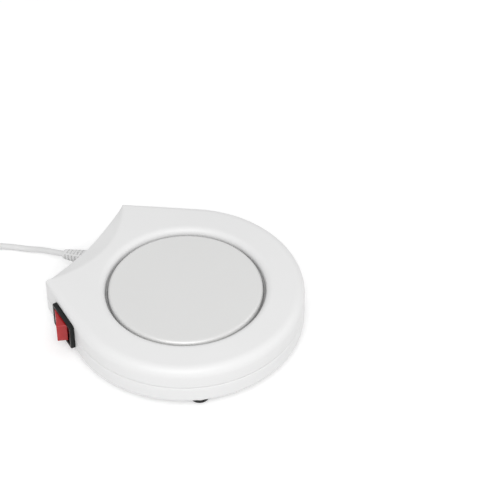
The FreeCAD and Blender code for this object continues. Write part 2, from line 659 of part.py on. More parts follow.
# Rocker switch: a snap-in housing with a bezel, the rocker on its pins, and the
# seesaw contact that the rocker's sprung plunger tips over.
def switch_parts():
    body = "switch_body_length"
    across = "switch_body_width"
    bezel = box("bezel", "bezel_proud", "bezel_length", "bezel_width",
                "0", "-bezel_length / 2", "-bezel_width / 2")
    case = box("case", "switch_depth", body, across, "-switch_depth", f"-{body} / 2",
               f"-{across} / 2")
    room = box("room", "switch_depth + bezel_proud", f"{body} - 2 * switch_wall",
               f"{across} - 2 * switch_wall", "1.2 - switch_depth",
               f"-{body} / 2 + switch_wall", f"-{across} / 2 + switch_wall")
    pins = cylinder("pin_holes", "pin_radius + pin_gap", "switch_body_width + 2", "pivot_x", "0",
                    "-switch_body_width / 2 - 1")
    slots = [box(f"slot_{i}", "4", "blade_sheet + 2 * slot_gap",
                 "blade_width + 2 * slot_gap", "-switch_depth - 1",
                 f"{i} * blade_pitch - blade_sheet / 2 - slot_gap",
                 "-blade_width / 2 - slot_gap") for i in (-1, 0)]
    clips = []
    for side in (-1, 1):
        clip = plate_of(f"clip_{side}", [
            ("-wall - barb_gap", f"{side} * {body} / 2"),
            ("-wall - barb_gap", f"{side} * ({body} / 2 + barb_out)"),
            ("-wall - barb_gap - barb_length", f"{side} * {body} / 2")], "4", "-2")
        clips.append(clip)
    housing = cut("switch_case", fuse("switch_blank", bezel, case, *clips), room, pins, *slots)
    node("switch_housing", switch_frame(housing))

    end_x = "rocker_end_x"
    end_y = "rocker_half"
    skirt_x = f"({end_x} - rocker_skirt)"
    skirt_y = end_y
    wedge = plate_of("rocker_wedge", [
        ("rocker_height", "0"), (end_x, end_y), (skirt_x, skirt_y),
        (skirt_x, "-" + skirt_y), (end_x, "-" + end_y)], "rocker_width", "-rocker_width / 2")
    hollow = "(rocker_half - rocker_shell - rocker_hub)"
    hollow_ends = [box(f"rocker_room_{side}", "rocker_height - 1.4 - " + skirt_x + " + 1", hollow,
                       "rocker_width - 2 * rocker_shell", skirt_x + " - 1",
                       f"{side} * (rocker_hub + {hollow} / 2) - {hollow} / 2",
                       "-rocker_width / 2 + rocker_shell") for side in (-1, 1)]
    pin = cylinder("rocker_pin", "pin_radius", "switch_body_width - 0.6", "0", "0",
                   "-switch_body_width / 2 + 0.3")
    socket = lying_disc("plunger_socket", "plunger_radius + bore_gap", "plunger_reach",
                        "-plunger_reach - pin_radius - 0.2")
    hub = box("rocker_hub", skirt_x + " + plunger_reach - 0.4", "4", "4",
              "0.8 - plunger_reach", "-2", "-2")
    rocker = cut("rocker", fuse("rocker_solid", cut("rocker_shell", wedge, *hollow_ends), pin, hub),
                 socket)
    tip = "(plunger_radius - plunger_reach)"
    ball = doc.addObject("Part::Sphere", "plunger_ball")
    put(bind(ball, Radius="plunger_radius"), tip)
    plunger = fuse("plunger", ball, lying_disc("plunger_rod", "plunger_radius", "1.0", tip))
    spring = cut("spring", lying_disc("spring_turns", "plunger_radius",
                                      f"-pin_radius - 0.22 - {tip} - 1.0", f"{tip} + 1.02"),
                 lying_disc("spring_inside", "plunger_radius - 0.3", "4", f"{tip} + 0.5"))
    for piece, name in ((rocker, "switch_rocker"), (plunger, "switch_plunger"),
                        (spring, "plunger_spring")):
        node(name, switch_frame(piece, "pivot_x", "0", "0", "-rocker_tilt * 1 deg"))


# Contact side of the switch: two blades through the floor of the housing, and the
# seesaw lever that rocks on the middle one.
def switch_contacts():
    tip = "(-switch_depth - blade_length)"
    floor = "(1.2 - switch_depth)"
    lever = fuse("lever_solid",
                 box("lever_strip", "lever_sheet", "2 * lever_half", "lever_width", "0",
                     "-lever_half", "-lever_width / 2"),
                 lying_disc("lever_button", "button_radius", "button_height + lever_sheet / 2",
                            "-button_height", "-lever_half + button_radius"))
    node("contact_lever", switch_frame(lever, "lever_x", "0", "0", "lever_tilt * 1 deg"))
    middle = box("blade_middle", f"lever_x - 0.1 - {tip}", "blade_sheet", "blade_width", tip,
                 "-blade_sheet / 2", "-blade_width / 2")
    pad_top = "(lever_x - button_height - lever_half * sin(lever_tilt) - 0.1)"
    rear = fuse("blade_rear",
                box("blade_rear_strip", f"{floor} + 0.25 - {tip}", "blade_sheet", "blade_width",
                    tip, "-blade_pitch - blade_sheet / 2", "-blade_width / 2"),
                box("blade_rear_foot", "0.25", "3", "lever_width", floor,
                    "-blade_pitch - blade_sheet / 2", "-lever_width / 2"),
                lying_disc("blade_contact", "button_radius", f"{pad_top} - {floor}", floor,
                           "-lever_half + button_radius"))
    node("switch_blades", switch_frame(group("blade_set", [middle, rear]), "0", "0", "0"))
    sleeves = []
    for i, y in enumerate(("0", "-blade_pitch")):
        sleeve = box(f"sleeve_{i}", "blade_length - 0.6", "blade_sheet + 2 * receptacle_wall",
                     "blade_width + 2 * receptacle_wall", f"{tip} - 0.2",
                     f"{y} - blade_sheet / 2 - receptacle_wall", "-blade_width / 2 - receptacle_wall")
        slot = box(f"sleeve_slot_{i}", "blade_length + 1", "blade_sheet + 2 * slot_gap",
                   "blade_width + 2 * slot_gap", tip, f"{y} - blade_sheet / 2 - slot_gap",
                   "-blade_width / 2 - slot_gap")
        sleeves.append(cut(f"receptacle_{i}", sleeve, slot))
    node("blade_receptacles", switch_frame(group("receptacle_set", sleeves), "0", "0", "0"))


def corner_arcs(points):
    """Straight runs through the points, joined by arcs of 0.45 of the shorter run
    over the tangent of half the turn: the edges of the path and the arcs' radii."""
    parts = []
    radii = []
    start = points[0]
    for before, at, after in zip(points, points[1:], points[2:]):
        come = (at - before).normalize()
        leave = (after - at).normalize()
        trim = 0.45 * min((at - before).Length, (after - at).Length)
        first = at - come * trim
        last = at + leave * trim
        middle_way = (leave - come).normalize()
        half_turn = come.getAngle(leave) / 2
        radius = trim / math.tan(half_turn)
        centre = at + middle_way * (radius / math.cos(half_turn))
        parts.append(Part.LineSegment(start, first).toShape())
        parts.append(Part.Arc(first, centre - middle_way * radius, last).toShape())
        radii.append(radius)
        start = last
    parts.append(Part.LineSegment(start, points[-1]).toShape())
    return parts, radii


def swept(parts, radius):
    """A round tube along path edges that join in one smooth line."""
    path = Part.Wire(parts)
    first = parts[0]
    start = first.valueAt(first.FirstParameter)
    heading = first.tangentAt(first.FirstParameter)
    circle = Part.Wire(Part.makeCircle(radius, start, heading))
    shape = path.makePipeShell([circle], True, False)
    section = math.pi * radius * radius
    return shape, abs(shape.Volume / (section * path.Length) - 1), path


def led_tube(name, points, radius):
    """A lead or cord along its corner points, with its radii printed."""
    parts, radii = corner_arcs([Vector(*point) for point in points])
    shape, error, path = swept(parts, radius)
    spelled = ", ".join(f"{value:.1f}" for value in radii)
    print(f"{name}: {path.Length:.1f} mm long, radii {spelled} mm, volume off by {error:.1e}")
    return solid(name + "_tube", shape)


# Leads inside the base: the cord's two cores to the switch and the heater, the
# thermal fuse in the switched one, and crimped splices between them.
def leads():
    wire = number("wire_radius")
    low = number("wire_height")
    y0 = number("plate_y")
    exit_z = number("exit_height")
    tail_y = number("back_wall_y - wall - relief_flange - tail_length") - 0.2
    heater = number("heater_radius")
    edge = heater + wire + 0.1
    angle = math.radians(number("tail_angle"))
    fuse_x = number("fuse_offset")
    fuse_y = number("fuse_length") / 2 + 0.1
    drop_y = number("fuse_drop_y")
    fuse_z = number("clamp_z - fuse_radius - sleeve_wall")
    card = number("card_z") + 0.3

    def spoke(radius, side):
        return radius * math.cos(angle), y0 + side * radius * math.sin(angle), low
    tails = [led_tube(f"heater_tail_{i}", [
        (edge * math.cos(angle), y0 + side * edge * math.sin(angle), card),
        (edge * math.cos(angle), y0 + side * edge * math.sin(angle), low),
        spoke(heater - 8.0, side)], wire) for i, side in enumerate((-1, 1))]
    node("heater_tails", group("tail_set", tails))
    pigtails = [
        led_tube("fuse_lead_in", [(fuse_x, y0 + fuse_y, fuse_z), (fuse_x, y0 + drop_y, fuse_z),
                                  (fuse_x, y0 + drop_y, low), (fuse_x - 8, y0 + drop_y, low)],
                 wire),
        led_tube("fuse_lead_out", [(fuse_x, y0 - fuse_y, fuse_z), (fuse_x, y0 - drop_y, fuse_z),
                                   (fuse_x, y0 - drop_y, low), (fuse_x + 2.5, y0 - 8, low),
                                   spoke(heater - 16.0, -1), spoke(heater - 8.2, -1)], wire)]
    node("fuse_leads", group("pigtail_set", pigtails))
    node("neutral_lead", led_tube("neutral", [
        (0.85, tail_y, exit_z), (0.85, tail_y - 4, exit_z), (3.5, tail_y - 9, low + 1),
        (12.5, tail_y - 17, low), (15.8, tail_y - 26, low),
        spoke(heater - 16.0, 1), spoke(heater - 8.2, 1)], wire))
    tip = "(switch_depth + blade_length + 0.25)"
    face = "(180 deg - side_angle)"

    def at_blade(out, along):
        x = number(f"switch_x - ({tip} + {out}) * cos{face} - ({along}) * sin{face}")
        y = number(f"switch_y - ({tip} + {out}) * sin{face} + ({along}) * cos{face}")
        return x, y, number("switch_height")
    node("live_lead", led_tube("live", [
        (-0.85, tail_y, exit_z), (-0.85, tail_y - 4, exit_z), (-4.0, tail_y - 8, low + 2),
        (-11.5, tail_y - 9, low + 2),
        at_blade(6.5, "-blade_pitch"), at_blade(0, "-blade_pitch")], wire))
    node("switched_lead", led_tube("switched", [
        at_blade(0, "0"), at_blade(6.0, "0"), (-15.5, 18.5, low), (-8.5, y0 + drop_y, low),
        (fuse_x - 8.2, y0 + drop_y, low)], wire))
    splices = []
    for i, (x, y, turn) in enumerate((
            (*spoke(heater - 11.6, -1)[:2], -number("tail_angle")), (*spoke(heater - 11.6, 1)[:2],
                                                            number("tail_angle")),
            (fuse_x - 11.6, y0 + drop_y, 0.0))):
        shell = Part.makeCylinder(number("splice_radius"), number("splice_length"))
        shell = shell.cut(Part.makeCylinder(wire + 0.05, number("splice_length")))
        splice = solid(f"splice_{i}", shell)
        splice.Placement = Placement(Vector(x, y, low), Rotation(Vector(0, 0, 1), turn)
                                     * Rotation(Vector(0, 1, 0), 90))
        splices.append(splice)
    node("crimp_splices", group("splice_set", splices))


# Cord anchorage: the relief's neck sits in a notch between the shells, and a bar
# with two screws clamps the sheath on the base's anvil.
def cord_anchorage():
    wall_y = "back_wall_y"

    def along_y(name, radius, length, y, z="exit_height"):
        piece = cylinder(name, radius, length, "0", f"{y} + {length}", z)
        piece.Placement.Rotation = Rotation(Vector(1, 0, 0), 90)
        return piece
    neck = along_y("relief_neck", "relief_neck_radius", "wall + 0.6", f"{wall_y} - wall - 0.3")
    flange = along_y("relief_inner", "relief_flange_radius", "relief_flange",
                     f"{wall_y} - wall - relief_flange - 0.1")
    collar = along_y("relief_collar", "relief_radius + 0.25", "relief_collar", f"{wall_y} + 0.1")
    taper = doc.addObject("Part::Cone", "relief_taper")
    bind(taper, Radius1="relief_radius", Radius2="relief_tip_radius", Height="relief_length")
    put(taper, "0", f"{wall_y} + relief_collar", "exit_height")
    droop = -90 - number("relief_droop")
    taper.Placement.Rotation = Rotation(Vector(1, 0, 0), droop)
    grooves = []
    heading = Vector(0, math.cos(math.radians(droop + 90)), math.sin(math.radians(droop + 90)))
    for i in range(int(number("relief_grooves"))):
        reach = number("groove_first") + number("groove_pitch") * i
        ring = doc.addObject("Part::Feature", f"relief_groove_{i}")
        width = number("groove_cut")
        size = number(f"relief_radius - (relief_radius - relief_tip_radius)"
                      f" * {reach + width / 2} / relief_length - groove_depth")
        ring.Shape = Part.makeCylinder(8, width).cut(Part.makeCylinder(size, width))
        middle = Vector(0, number(wall_y + " + relief_collar"), number("exit_height")) + heading * reach
        ring.Placement = Placement(middle, Rotation(Vector(1, 0, 0), droop))
        grooves.append(ring)
    node("strain_relief", cut("relief", fuse("relief_solid", neck, flange, collar, taper),
                              *grooves))
    node("cord_tail", along_y("sheath_end", "cord_radius", "tail_length",
                              f"{wall_y} - wall - relief_flange - 0.1 - tail_length"))
    bar_y = f"({wall_y} - anvil_inset)"
    bar = box("bar", "anvil_width", "anvil_depth", "clamp_bar", "-anvil_width / 2", bar_y,
              "exit_height + cord_radius")
    holes = [cylinder(f"bar_hole_{side}", "bar_hole_radius", "clamp_bar + 2",
                      f"{side} * clamp_screw_apart / 2", f"{bar_y} + anvil_depth / 2",
                      "exit_height + cord_radius - 1") for side in (-1, 1)]
    node("cord_clamp", cut("clamp_drilled", bar, *holes))
    screws = []
    for side in (-1, 1):
        screw = turned(f"clamp_screw_{side}", [
            ("0", "1.4"), ("1.4", "1.4"), ("2", "0.8"), ("2", "0"), ("1", "0"), ("1", "-9"),
            ("0", "-9.8")])
        screws.append(put(screw, f"{side} * clamp_screw_apart / 2", f"{bar_y} + anvil_depth / 2",
                          "exit_height + cord_radius + clamp_bar"))
    node("clamp_screws", group("clamp_screw_set", screws))


# Mains cord: its free run from the strain relief to the floor, then the coil of
# the put-away length with its tie, the tail and the plug.
def cord():
    radius = number("cord_radius")
    droop = math.radians(number("relief_droop"))
    reach = number("relief_length")
    start = Vector(0, number("back_wall_y + relief_collar") + reach * math.cos(droop),
                   number("exit_height") - reach * math.sin(droop))
    heading = math.radians(number("coil_heading"))
    ahead = Vector(math.cos(heading), math.sin(heading), 0)
    outward = Vector(math.sin(heading), -math.cos(heading), 0)
    base_z = radius + number("tie_sheet")
    coil_start = Vector(-20.0, 134.0, base_z)
    leave = Vector(0, math.cos(droop), -math.sin(droop))
    run = [start, start + leave * 7.6, Vector(-0.3, 91.3, 3.5), Vector(-1.8, 98.4, 1.6),
           Vector(-4.3, 105.3, 1.6), Vector(-8.1, 113.2, 1.6), Vector(-11.6, 121.2, 1.6),
           coil_start - ahead * 7.5, coil_start]
    node("cord_run", led_tube("cord_run", run, radius))

    pitch = number("coil_pitch")
    layer = number("coil_layer")
    inner = number("coil_inner")
    outer = inner + 2 * pitch
    straight = 2 * radius
    middle = coil_start + ahead * straight - outward * outer
    # Distances from the middle where the path crosses the coil's own X axis, one
    # for each half turn, on the near and far side in turn, and their layers.
    steps = [outer - pitch / 2 * i for i in range(5)]
    crossings = [(size, 0) for size in steps]
    crossings += [(size, 1) for size in reversed(steps)]
    crossings += [(size, 2) for size in steps]
    crossings += [(size, 3) for size in list(reversed(steps))[:4]]

    def crossing(i):
        size, level = crossings[i]
        side = 1 if i % 2 == 0 else -1
        return middle + outward * (side * size) + Vector(0, 0, layer * level)
    parts = [Part.LineSegment(coil_start, crossing(0)).toShape()]
    for i in range(len(crossings) - 1):
        here = crossing(i)
        there = crossing(i + 1)
        side = 1 if i % 2 == 0 else -1
        half = (there - here).Length / 2
        top = (here + there) * 0.5 + ahead * (side * half)
        parts.append(Part.Arc(here, top, there).toShape())
    last = crossing(len(crossings) - 1)
    coil_end = last + ahead * straight
    parts.append(Part.LineSegment(last, coil_end).toShape())
    shape, error, path = swept(parts, radius)
    gap = least_self_gap(parts, radius)
    print(f"cord_coil: {path.Length:.1f} mm long, volume off by {error:.1e},"
          f" least gap to itself {gap:.2f} mm")
    node("cord_coil", solid("coil_tube", shape))

    def by_coil(x, y, z):
        return middle + outward * x + ahead * y + Vector(0, 0, z)
    plug_z = number("plug_height") / 2
    end = crossings[-1][0]
    past = outer + 16.2
    route = [coil_end, by_coil(end, past - 25.7, coil_end.z - middle.z),
             by_coil(end - 1.2, past - 16.7, 9.3 - middle.z),
             by_coil(end - 4.45, past - 8.6, 6.2 - middle.z),
             by_coil(end - 10.85, past - 2.4, 5.4 - middle.z),
             by_coil(end - 18.65, past, plug_z - middle.z),
             by_coil(end - 26.65, past, plug_z - middle.z)]
    node("cord_end", led_tube("cord_end", route, radius))
    plug_start = route[-1]
    plug_turn = number("coil_heading") + 90

    tie_reach = inner - radius - 0.6
    tie_width = number("tie_width")
    sheet_size = number("tie_sheet")
    across = outer - inner + 2 * radius + 1.2
    height = 3 * layer + 2 * radius + 0.5 + sheet_size
    frame = Part.makeBox(across, tie_width, height)
    frame = frame.cut(Part.makeBox(across - 2 * sheet_size, tie_width + 2,
                                   height - 2 * sheet_size,
                                   Vector(sheet_size, -1, sheet_size)))
    tie = solid("tie_band", frame)
    corner = middle - outward * (tie_reach + across) - ahead * (tie_width / 2)
    corner.z = 0
    tie.Placement = Placement(corner, Rotation(Vector(0, 0, 1), number("coil_heading") - 90))
    node("cord_tie", tie)
    plug(plug_start, plug_turn)


def least_self_gap(parts, radius):
    """The least distance between turns of the tube, on points along its path."""
    points = []
    run = 0.0
    for edge in parts:
        count = max(2, int(edge.Length / 1.2))
        first, last = edge.ParameterRange
        for i in range(count):
            points.append((run + edge.Length * i / count,
                           edge.valueAt(first + (last - first) * i / count)))
        run += edge.Length
    least = 1e9
    for i, (place, here) in enumerate(points):
        for other, there in points[i + 1:]:
            if other - place > 20:
                least = min(least, here.distanceToPoint(there))
    return least - 2 * radius


# Plug: a moulded body with a tapered neck and two flat blades.
def plug(start, turn):
    half = "plug_width / 2"
    body = plate_of("plug_block", [
        ("plug_neck - 1", f"-{half} * 0.62"), ("plug_length - 8", f"-{half}"),
        ("plug_length", f"-{half}"), ("plug_length", half), ("plug_length - 8", half),
        ("plug_neck - 1", f"{half} * 0.62")], "plug_height", "-plug_height / 2")
    doc.recompute()
    fillet = body.newObject("PartDesign::Fillet", "plug_round")
    base = body.Group[-2]
    front = number("plug_length")
    fillet.Base = (base, edges(base.Shape, lambda e: e.BoundBox.XMax < front - 1e-4
                               or e.BoundBox.XMin < front - 1e-4))
    bind(fillet, Radius="2")
    neck = doc.addObject("Part::Cone", "plug_cone")
    bind(neck, Radius1="cord_radius + 0.7", Radius2="cord_radius + 2.4", Height="plug_neck")
    neck.Placement.Rotation = Rotation(Vector(0, 1, 0), 90)
    moulded = fuse("plug_moulded", body, neck)
    prongs = []
    for side in (-1, 1):
        prong = box(f"prong_{side}", "prong_length", "prong_sheet", "prong_width",
                    "plug_length", f"{side} * prong_apart / 2 - prong_sheet / 2",
                    "-prong_width / 2")
        hole = cylinder(f"prong_hole_{side}", "1.6", "prong_sheet + 2",
                        "plug_length + prong_length - 4",
                        f"{side} * prong_apart / 2 + prong_sheet / 2 + 1", "0")
        hole.Placement.Rotation = Rotation(Vector(1, 0, 0), 90)
        prongs.append(cut(f"prong_{side}_drilled", prong, hole))
    blades = group("prong_set", prongs)
    for piece, name in ((moulded, "plug_body"), (blades, "plug_blades")):
        piece.Placement = Placement(start, Rotation(Vector(0, 0, 1), turn))
        node(name, piece)


def export():
    """Check every object and every sub-part, then write one file for each."""
    doc.recompute()
    for item in doc.Objects:
        if "Invalid" in item.State or "Error" in item.State:
            raise RuntimeError(f"{item.Label} did not rebuild: {item.State}")
    os.makedirs("parts", exist_ok=True)
    for name, piece in nodes.items():
        shape = piece.Shape
        if shape.isNull() or not shape.isValid() or not shape.Solids:
            raise RuntimeError(f"{name} has no valid solid")
        shape.exportStep(f"parts/{name}.step")
        size = shape.BoundBox
        print(f"{name}: {len(shape.Solids)} solid(s), {shape.Volume:.1f} mm3,"
              f" z {size.ZMin:.2f} to {size.ZMax:.2f}")


top_cover()
base_cover()
feet_and_screws()
plate_parts()
heater_parts()
fuse_parts()
switch_parts()
switch_contacts()
leads()
cord_anchorage()
cord()
export()
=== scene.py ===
"""An electric mug warmer: a white moulded housing round a heated plate, with a
rocker switch on its left wall and a thin mains cord from its hollow back edge.

Lengths are in millimetres and are brought to metres as each mesh is made. X is to
the right, Y to the back, Z up from the table under the rubber feet.
"""
import bpy
import numpy as np
from mathutils import Matrix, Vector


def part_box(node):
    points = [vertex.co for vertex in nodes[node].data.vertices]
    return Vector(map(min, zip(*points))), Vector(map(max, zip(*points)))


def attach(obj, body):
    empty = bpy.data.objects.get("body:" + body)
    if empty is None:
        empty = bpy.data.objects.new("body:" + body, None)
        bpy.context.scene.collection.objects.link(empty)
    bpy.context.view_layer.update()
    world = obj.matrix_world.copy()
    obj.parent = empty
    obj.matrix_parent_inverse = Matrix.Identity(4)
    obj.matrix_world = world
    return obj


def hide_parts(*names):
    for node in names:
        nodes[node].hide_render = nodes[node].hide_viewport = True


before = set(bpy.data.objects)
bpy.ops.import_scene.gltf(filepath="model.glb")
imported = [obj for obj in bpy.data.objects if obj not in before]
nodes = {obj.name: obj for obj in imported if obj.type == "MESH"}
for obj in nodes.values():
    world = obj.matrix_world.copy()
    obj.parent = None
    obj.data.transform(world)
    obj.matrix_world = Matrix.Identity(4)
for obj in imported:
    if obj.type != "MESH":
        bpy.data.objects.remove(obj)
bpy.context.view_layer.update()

# Camera: a long lens about a metre off, to the front left of the warmer and well
# above it. Its columns are the picture's right, up and towards-the-viewer.
lens = bpy.data.cameras.new("camera")
lens.lens = 129.6
lens.sensor_width = 36.0
lens.clip_start = 0.05
camera = bpy.data.objects.new("camera", lens)
camera.matrix_world = Matrix((
    (0.52387, 0.58142, -0.62251, -0.5371),
    (-0.85180, 0.35998, -0.38061, -0.3674),
    (0.00280, 0.72964, 0.68383, 0.6573),
    (0.0, 0.0, 0.0, 1.0)))
bpy.context.scene.collection.objects.link(camera)
bpy.context.scene.camera = camera
bpy.context.scene.view_settings.view_transform = "Standard"


# Table top and light: a broad pale floor that the camera sees as white where
# nothing shades it, an even white surround and two large soft lamps.
def new_material(name):
    """A material with its Principled shader and its node tree."""
    made = bpy.data.materials.new(name)
    made.use_nodes = True
    tree = made.node_tree
    return made, tree, tree.nodes["Principled BSDF"]


def seen_ray(tree):
    """One where the camera, a gloss or a glass looks at the surface, else nought."""
    path = tree.nodes.new("ShaderNodeLightPath")
    total = path.outputs["Is Camera Ray"]
    for other in ("Is Glossy Ray", "Is Transmission Ray"):
        joined = tree.nodes.new("ShaderNodeMath")
        joined.operation = "MAXIMUM"
        tree.links.new(total, joined.inputs[0])
        tree.links.new(path.outputs[other], joined.inputs[1])
        total = joined.outputs[0]
    return total


SPAN, SINK = 3.0, 0.0002
floor_mesh = bpy.data.meshes.new("table_top")
floor_mesh.from_pydata([(-SPAN, -SPAN, -SINK), (SPAN, -SPAN, -SINK),
                        (SPAN, SPAN, -SINK), (-SPAN, SPAN, -SINK)], [], [(0, 1, 2, 3)])
floor = bpy.data.objects.new("table_top", floor_mesh)
bpy.context.scene.collection.objects.link(floor)
paint, tree, shader = new_material("table_white")
shader.inputs["Base Color"].default_value = (0.82, 0.82, 0.82, 1)
shader.inputs["Roughness"].default_value = 0.9
shader.inputs["Specular IOR Level"].default_value = 0.1
shader.inputs["Emission Color"].default_value = (1, 1, 1, 1)
glow = tree.nodes.new("ShaderNodeMath")
glow.operation = "MULTIPLY"
glow.inputs[1].default_value = 0.3
tree.links.new(seen_ray(tree), glow.inputs[0])
tree.links.new(glow.outputs[0], shader.inputs["Emission Strength"])
floor_mesh.materials.append(paint)

surround = bpy.data.worlds.new("studio")
surround.use_nodes = True
bpy.context.scene.world = surround
tree = surround.node_tree
sky = tree.nodes["Background"]
sky.inputs["Color"].default_value = (1, 1, 1, 1)
level = tree.nodes.new("ShaderNodeMapRange")
level.inputs["To Min"].default_value = 0.635
level.inputs["To Max"].default_value = 1.0
tree.links.new(seen_ray(tree), level.inputs["Value"])
tree.links.new(level.outputs["Result"], sky.inputs["Strength"])


def soft_lamp(name, place, size, watts):
    """A square area lamp at a place in metres, turned to face the origin."""
    data = bpy.data.lights.new(name, "AREA")
    data.size = size
    data.energy = watts
    lamp = bpy.data.objects.new(name, data)
    back = np.array(place) / np.linalg.norm(place)
    right = np.cross((0.0, 1.0, 0.001), back)
    right /= np.linalg.norm(right)
    up = np.cross(back, right)
    turn = np.eye(4)
    turn[:3, 0], turn[:3, 1], turn[:3, 2], turn[:3, 3] = right, up, back, place
    lamp.matrix_world = Matrix(turn.tolist())
    bpy.context.scene.collection.objects.link(lamp)


soft_lamp("lamp_left", (-0.66, -0.36, 0.80), 0.8, 6.2)
soft_lamp("lamp_right", (0.60, -0.80, 0.56), 0.7, 1.5)


# Mains cord: a thin white flexible lead. It leaves the strain relief at the back,
# sags to the table and runs off to the left into a tied round coil and its plug.
MM = 0.001
FRONT_RADIUS = 60.3
CORNER_REACH = 2.2
BACK_HOLLOW = 3.0
plate_low, plate_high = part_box("heating_plate")
PLATE_Y = (plate_low[1] + plate_high[1]) / 2 / MM
BACK_WALL = PLATE_Y + FRONT_RADIUS + CORNER_REACH - BACK_HOLLOW
EXIT_Z = 13.0
DROOP = np.radians(17.5)
COLLAR, RELIEF_LENGTH = 1.45, 15.8
RELIEF_ROOT, RELIEF_TIP = 4.1, 2.6
CORD_RADIUS = 1.6
TIE_SHEET = 0.4
COIL_AT = np.radians(121.6)
coil_ahead = np.array([np.cos(COIL_AT), np.sin(COIL_AT), 0.0])
coil_outward = np.array([np.sin(COIL_AT), -np.cos(COIL_AT), 0.0])
COIL_Z = CORD_RADIUS + TIE_SHEET
coil_start = np.array([-20.0, 134.0, COIL_Z])
COIL_INNER, COIL_PITCH, COIL_LAYER = 13.2, 4.3, 3.9
COIL_STRAIGHT = 2 * CORD_RADIUS
coil_outer = COIL_INNER + 2 * COIL_PITCH
coil_middle = coil_start + coil_ahead * COIL_STRAIGHT - coil_outward * coil_outer
relief_tip = np.array([0.0, BACK_WALL + COLLAR + RELIEF_LENGTH * np.cos(DROOP),
                       EXIT_Z - RELIEF_LENGTH * np.sin(DROOP)])
leaving = np.array([0.0, np.cos(DROOP), -np.sin(DROOP)])


def by_coil(outward, ahead, height):
    """A point from the coil's middle: so far outward, so far ahead, at a height."""
    return coil_middle * (1, 1, 0) + coil_outward * outward + coil_ahead * ahead \
        + np.array([0.0, 0.0, height])


route = [relief_tip, relief_tip + leaving * 7.6, (-0.3, 91.3, 3.5), (-1.8, 98.4, 1.6),
         (-4.3, 105.3, 1.6), (-8.1, 113.2, 1.6), (-11.6, 121.2, 1.6),
         coil_start - coil_ahead * 7.5, coil_start]
# Each half turn goes round from one size to the next, and each layer lies on the
# one below; its points stand out by the little that a smooth line cuts inside.
steps = [coil_outer - COIL_PITCH / 2 * i for i in range(5)]
sizes = steps + steps[::-1] + steps + steps[::-1][:4]
levels = [0] * 5 + [1] * 5 + [2] * 5 + [3] * 4
SWELL = 1 / 0.9662
for half in range(len(sizes) - 1):
    side = 1 if half % 2 == 0 else -1
    here = by_coil(side * sizes[half], 0, COIL_Z + COIL_LAYER * levels[half])
    there = by_coil(-side * sizes[half + 1], 0, COIL_Z + COIL_LAYER * levels[half + 1])
    centre = (here + there) / 2
    reach = np.linalg.norm(there - here) / 2
    for turn in np.radians((15, 45, 75, 105, 135, 165)):
        route.append(centre + SWELL * ((here - centre) * np.cos(turn)
                                       + coil_ahead * side * reach * np.sin(turn)))
coil_top = COIL_Z + 3 * COIL_LAYER
PLUG_HALF_HEIGHT = 6.0
plug_start = by_coil(-7.0, 38.0, PLUG_HALF_HEIGHT)
route += [by_coil(19.65, COIL_STRAIGHT, coil_top), by_coil(19.65, 12.3, coil_top),
          by_coil(18.45, 21.3, 9.3), by_coil(15.2, 29.4, 6.2), by_coil(8.8, 35.6, 5.4),
          by_coil(1.0, 38.0, PLUG_HALF_HEIGHT), plug_start]

cord_curve = bpy.data.curves.new("mains_cord", "CURVE")
cord_curve.dimensions = "3D"
line = cord_curve.splines.new("NURBS")
line.points.add(len(route) - 1)
for point, place in zip(line.points, route):
    point.co = (*(np.array(place) * MM), 1.0)
line.order_u = 3
line.use_endpoint_u = True
line.resolution_u = 6
cord_curve.bevel_depth = CORD_RADIUS * MM
cord_curve.bevel_resolution = 5
cord_curve.use_fill_caps = True
cord = bpy.data.objects.new("mains_cord", cord_curve)
bpy.context.scene.collection.objects.link(cord)


def clouded(name, colour, roughness, mottle=0.04, cloud=60.0, grain=1500.0, bump=0.06,
            metallic=0.0, gloss=0.5, stretch=None):
    """A finish on Object coordinates: the colour shifts a few percent in soft clouds,
    the roughness with them, and a fine grain lifts the face by a hair."""
    made, tree, shader = new_material(name)
    where = tree.nodes.new("ShaderNodeTexCoord").outputs["Object"]
    if stretch:
        squeeze = tree.nodes.new("ShaderNodeMapping")
        squeeze.inputs["Scale"].default_value = stretch
        tree.links.new(where, squeeze.inputs["Vector"])
        where = squeeze.outputs["Vector"]
    clouds = tree.nodes.new("ShaderNodeTexNoise")
    clouds.inputs["Scale"].default_value = cloud
    clouds.inputs["Detail"].default_value = 3.0
    tree.links.new(where, clouds.inputs["Vector"])
    shade = tree.nodes.new("ShaderNodeValToRGB")
    low, high = shade.color_ramp.elements
    low.position, high.position = 0.3, 0.7
    low.color = (*[c * (1 - mottle) for c in colour], 1)
    high.color = (*[min(1.0, c * (1 + mottle / 2)) for c in colour], 1)
    tree.links.new(clouds.outputs["Fac"], shade.inputs["Fac"])
    tree.links.new(shade.outputs["Color"], shader.inputs["Base Color"])
    wear = tree.nodes.new("ShaderNodeMapRange")
    wear.inputs["To Min"].default_value = max(0.02, roughness - 0.05)
    wear.inputs["To Max"].default_value = min(1.0, roughness + 0.05)
    tree.links.new(clouds.outputs["Fac"], wear.inputs["Value"])
    tree.links.new(wear.outputs["Result"], shader.inputs["Roughness"])
    fine = tree.nodes.new("ShaderNodeTexNoise")
    fine.inputs["Scale"].default_value = grain
    fine.inputs["Detail"].default_value = 2.0
    tree.links.new(where, fine.inputs["Vector"])
    lift = tree.nodes.new("ShaderNodeBump")
    lift.inputs["Strength"].default_value = bump
    lift.inputs["Distance"].default_value = 0.0002
    tree.links.new(fine.outputs["Fac"], lift.inputs["Height"])
    tree.links.new(lift.outputs["Normal"], shader.inputs["Normal"])
    shader.inputs["Metallic"].default_value = metallic
    shader.inputs["Specular IOR Level"].default_value = gloss
    return made


sheath = clouded("cord_sheath", (0.72, 0.72, 0.72), 0.42, grain=2600.0, bump=0.1)
cord_curve.materials.append(sheath)
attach(cord, "housing")
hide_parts("cord_run", "cord_coil", "cord_end")


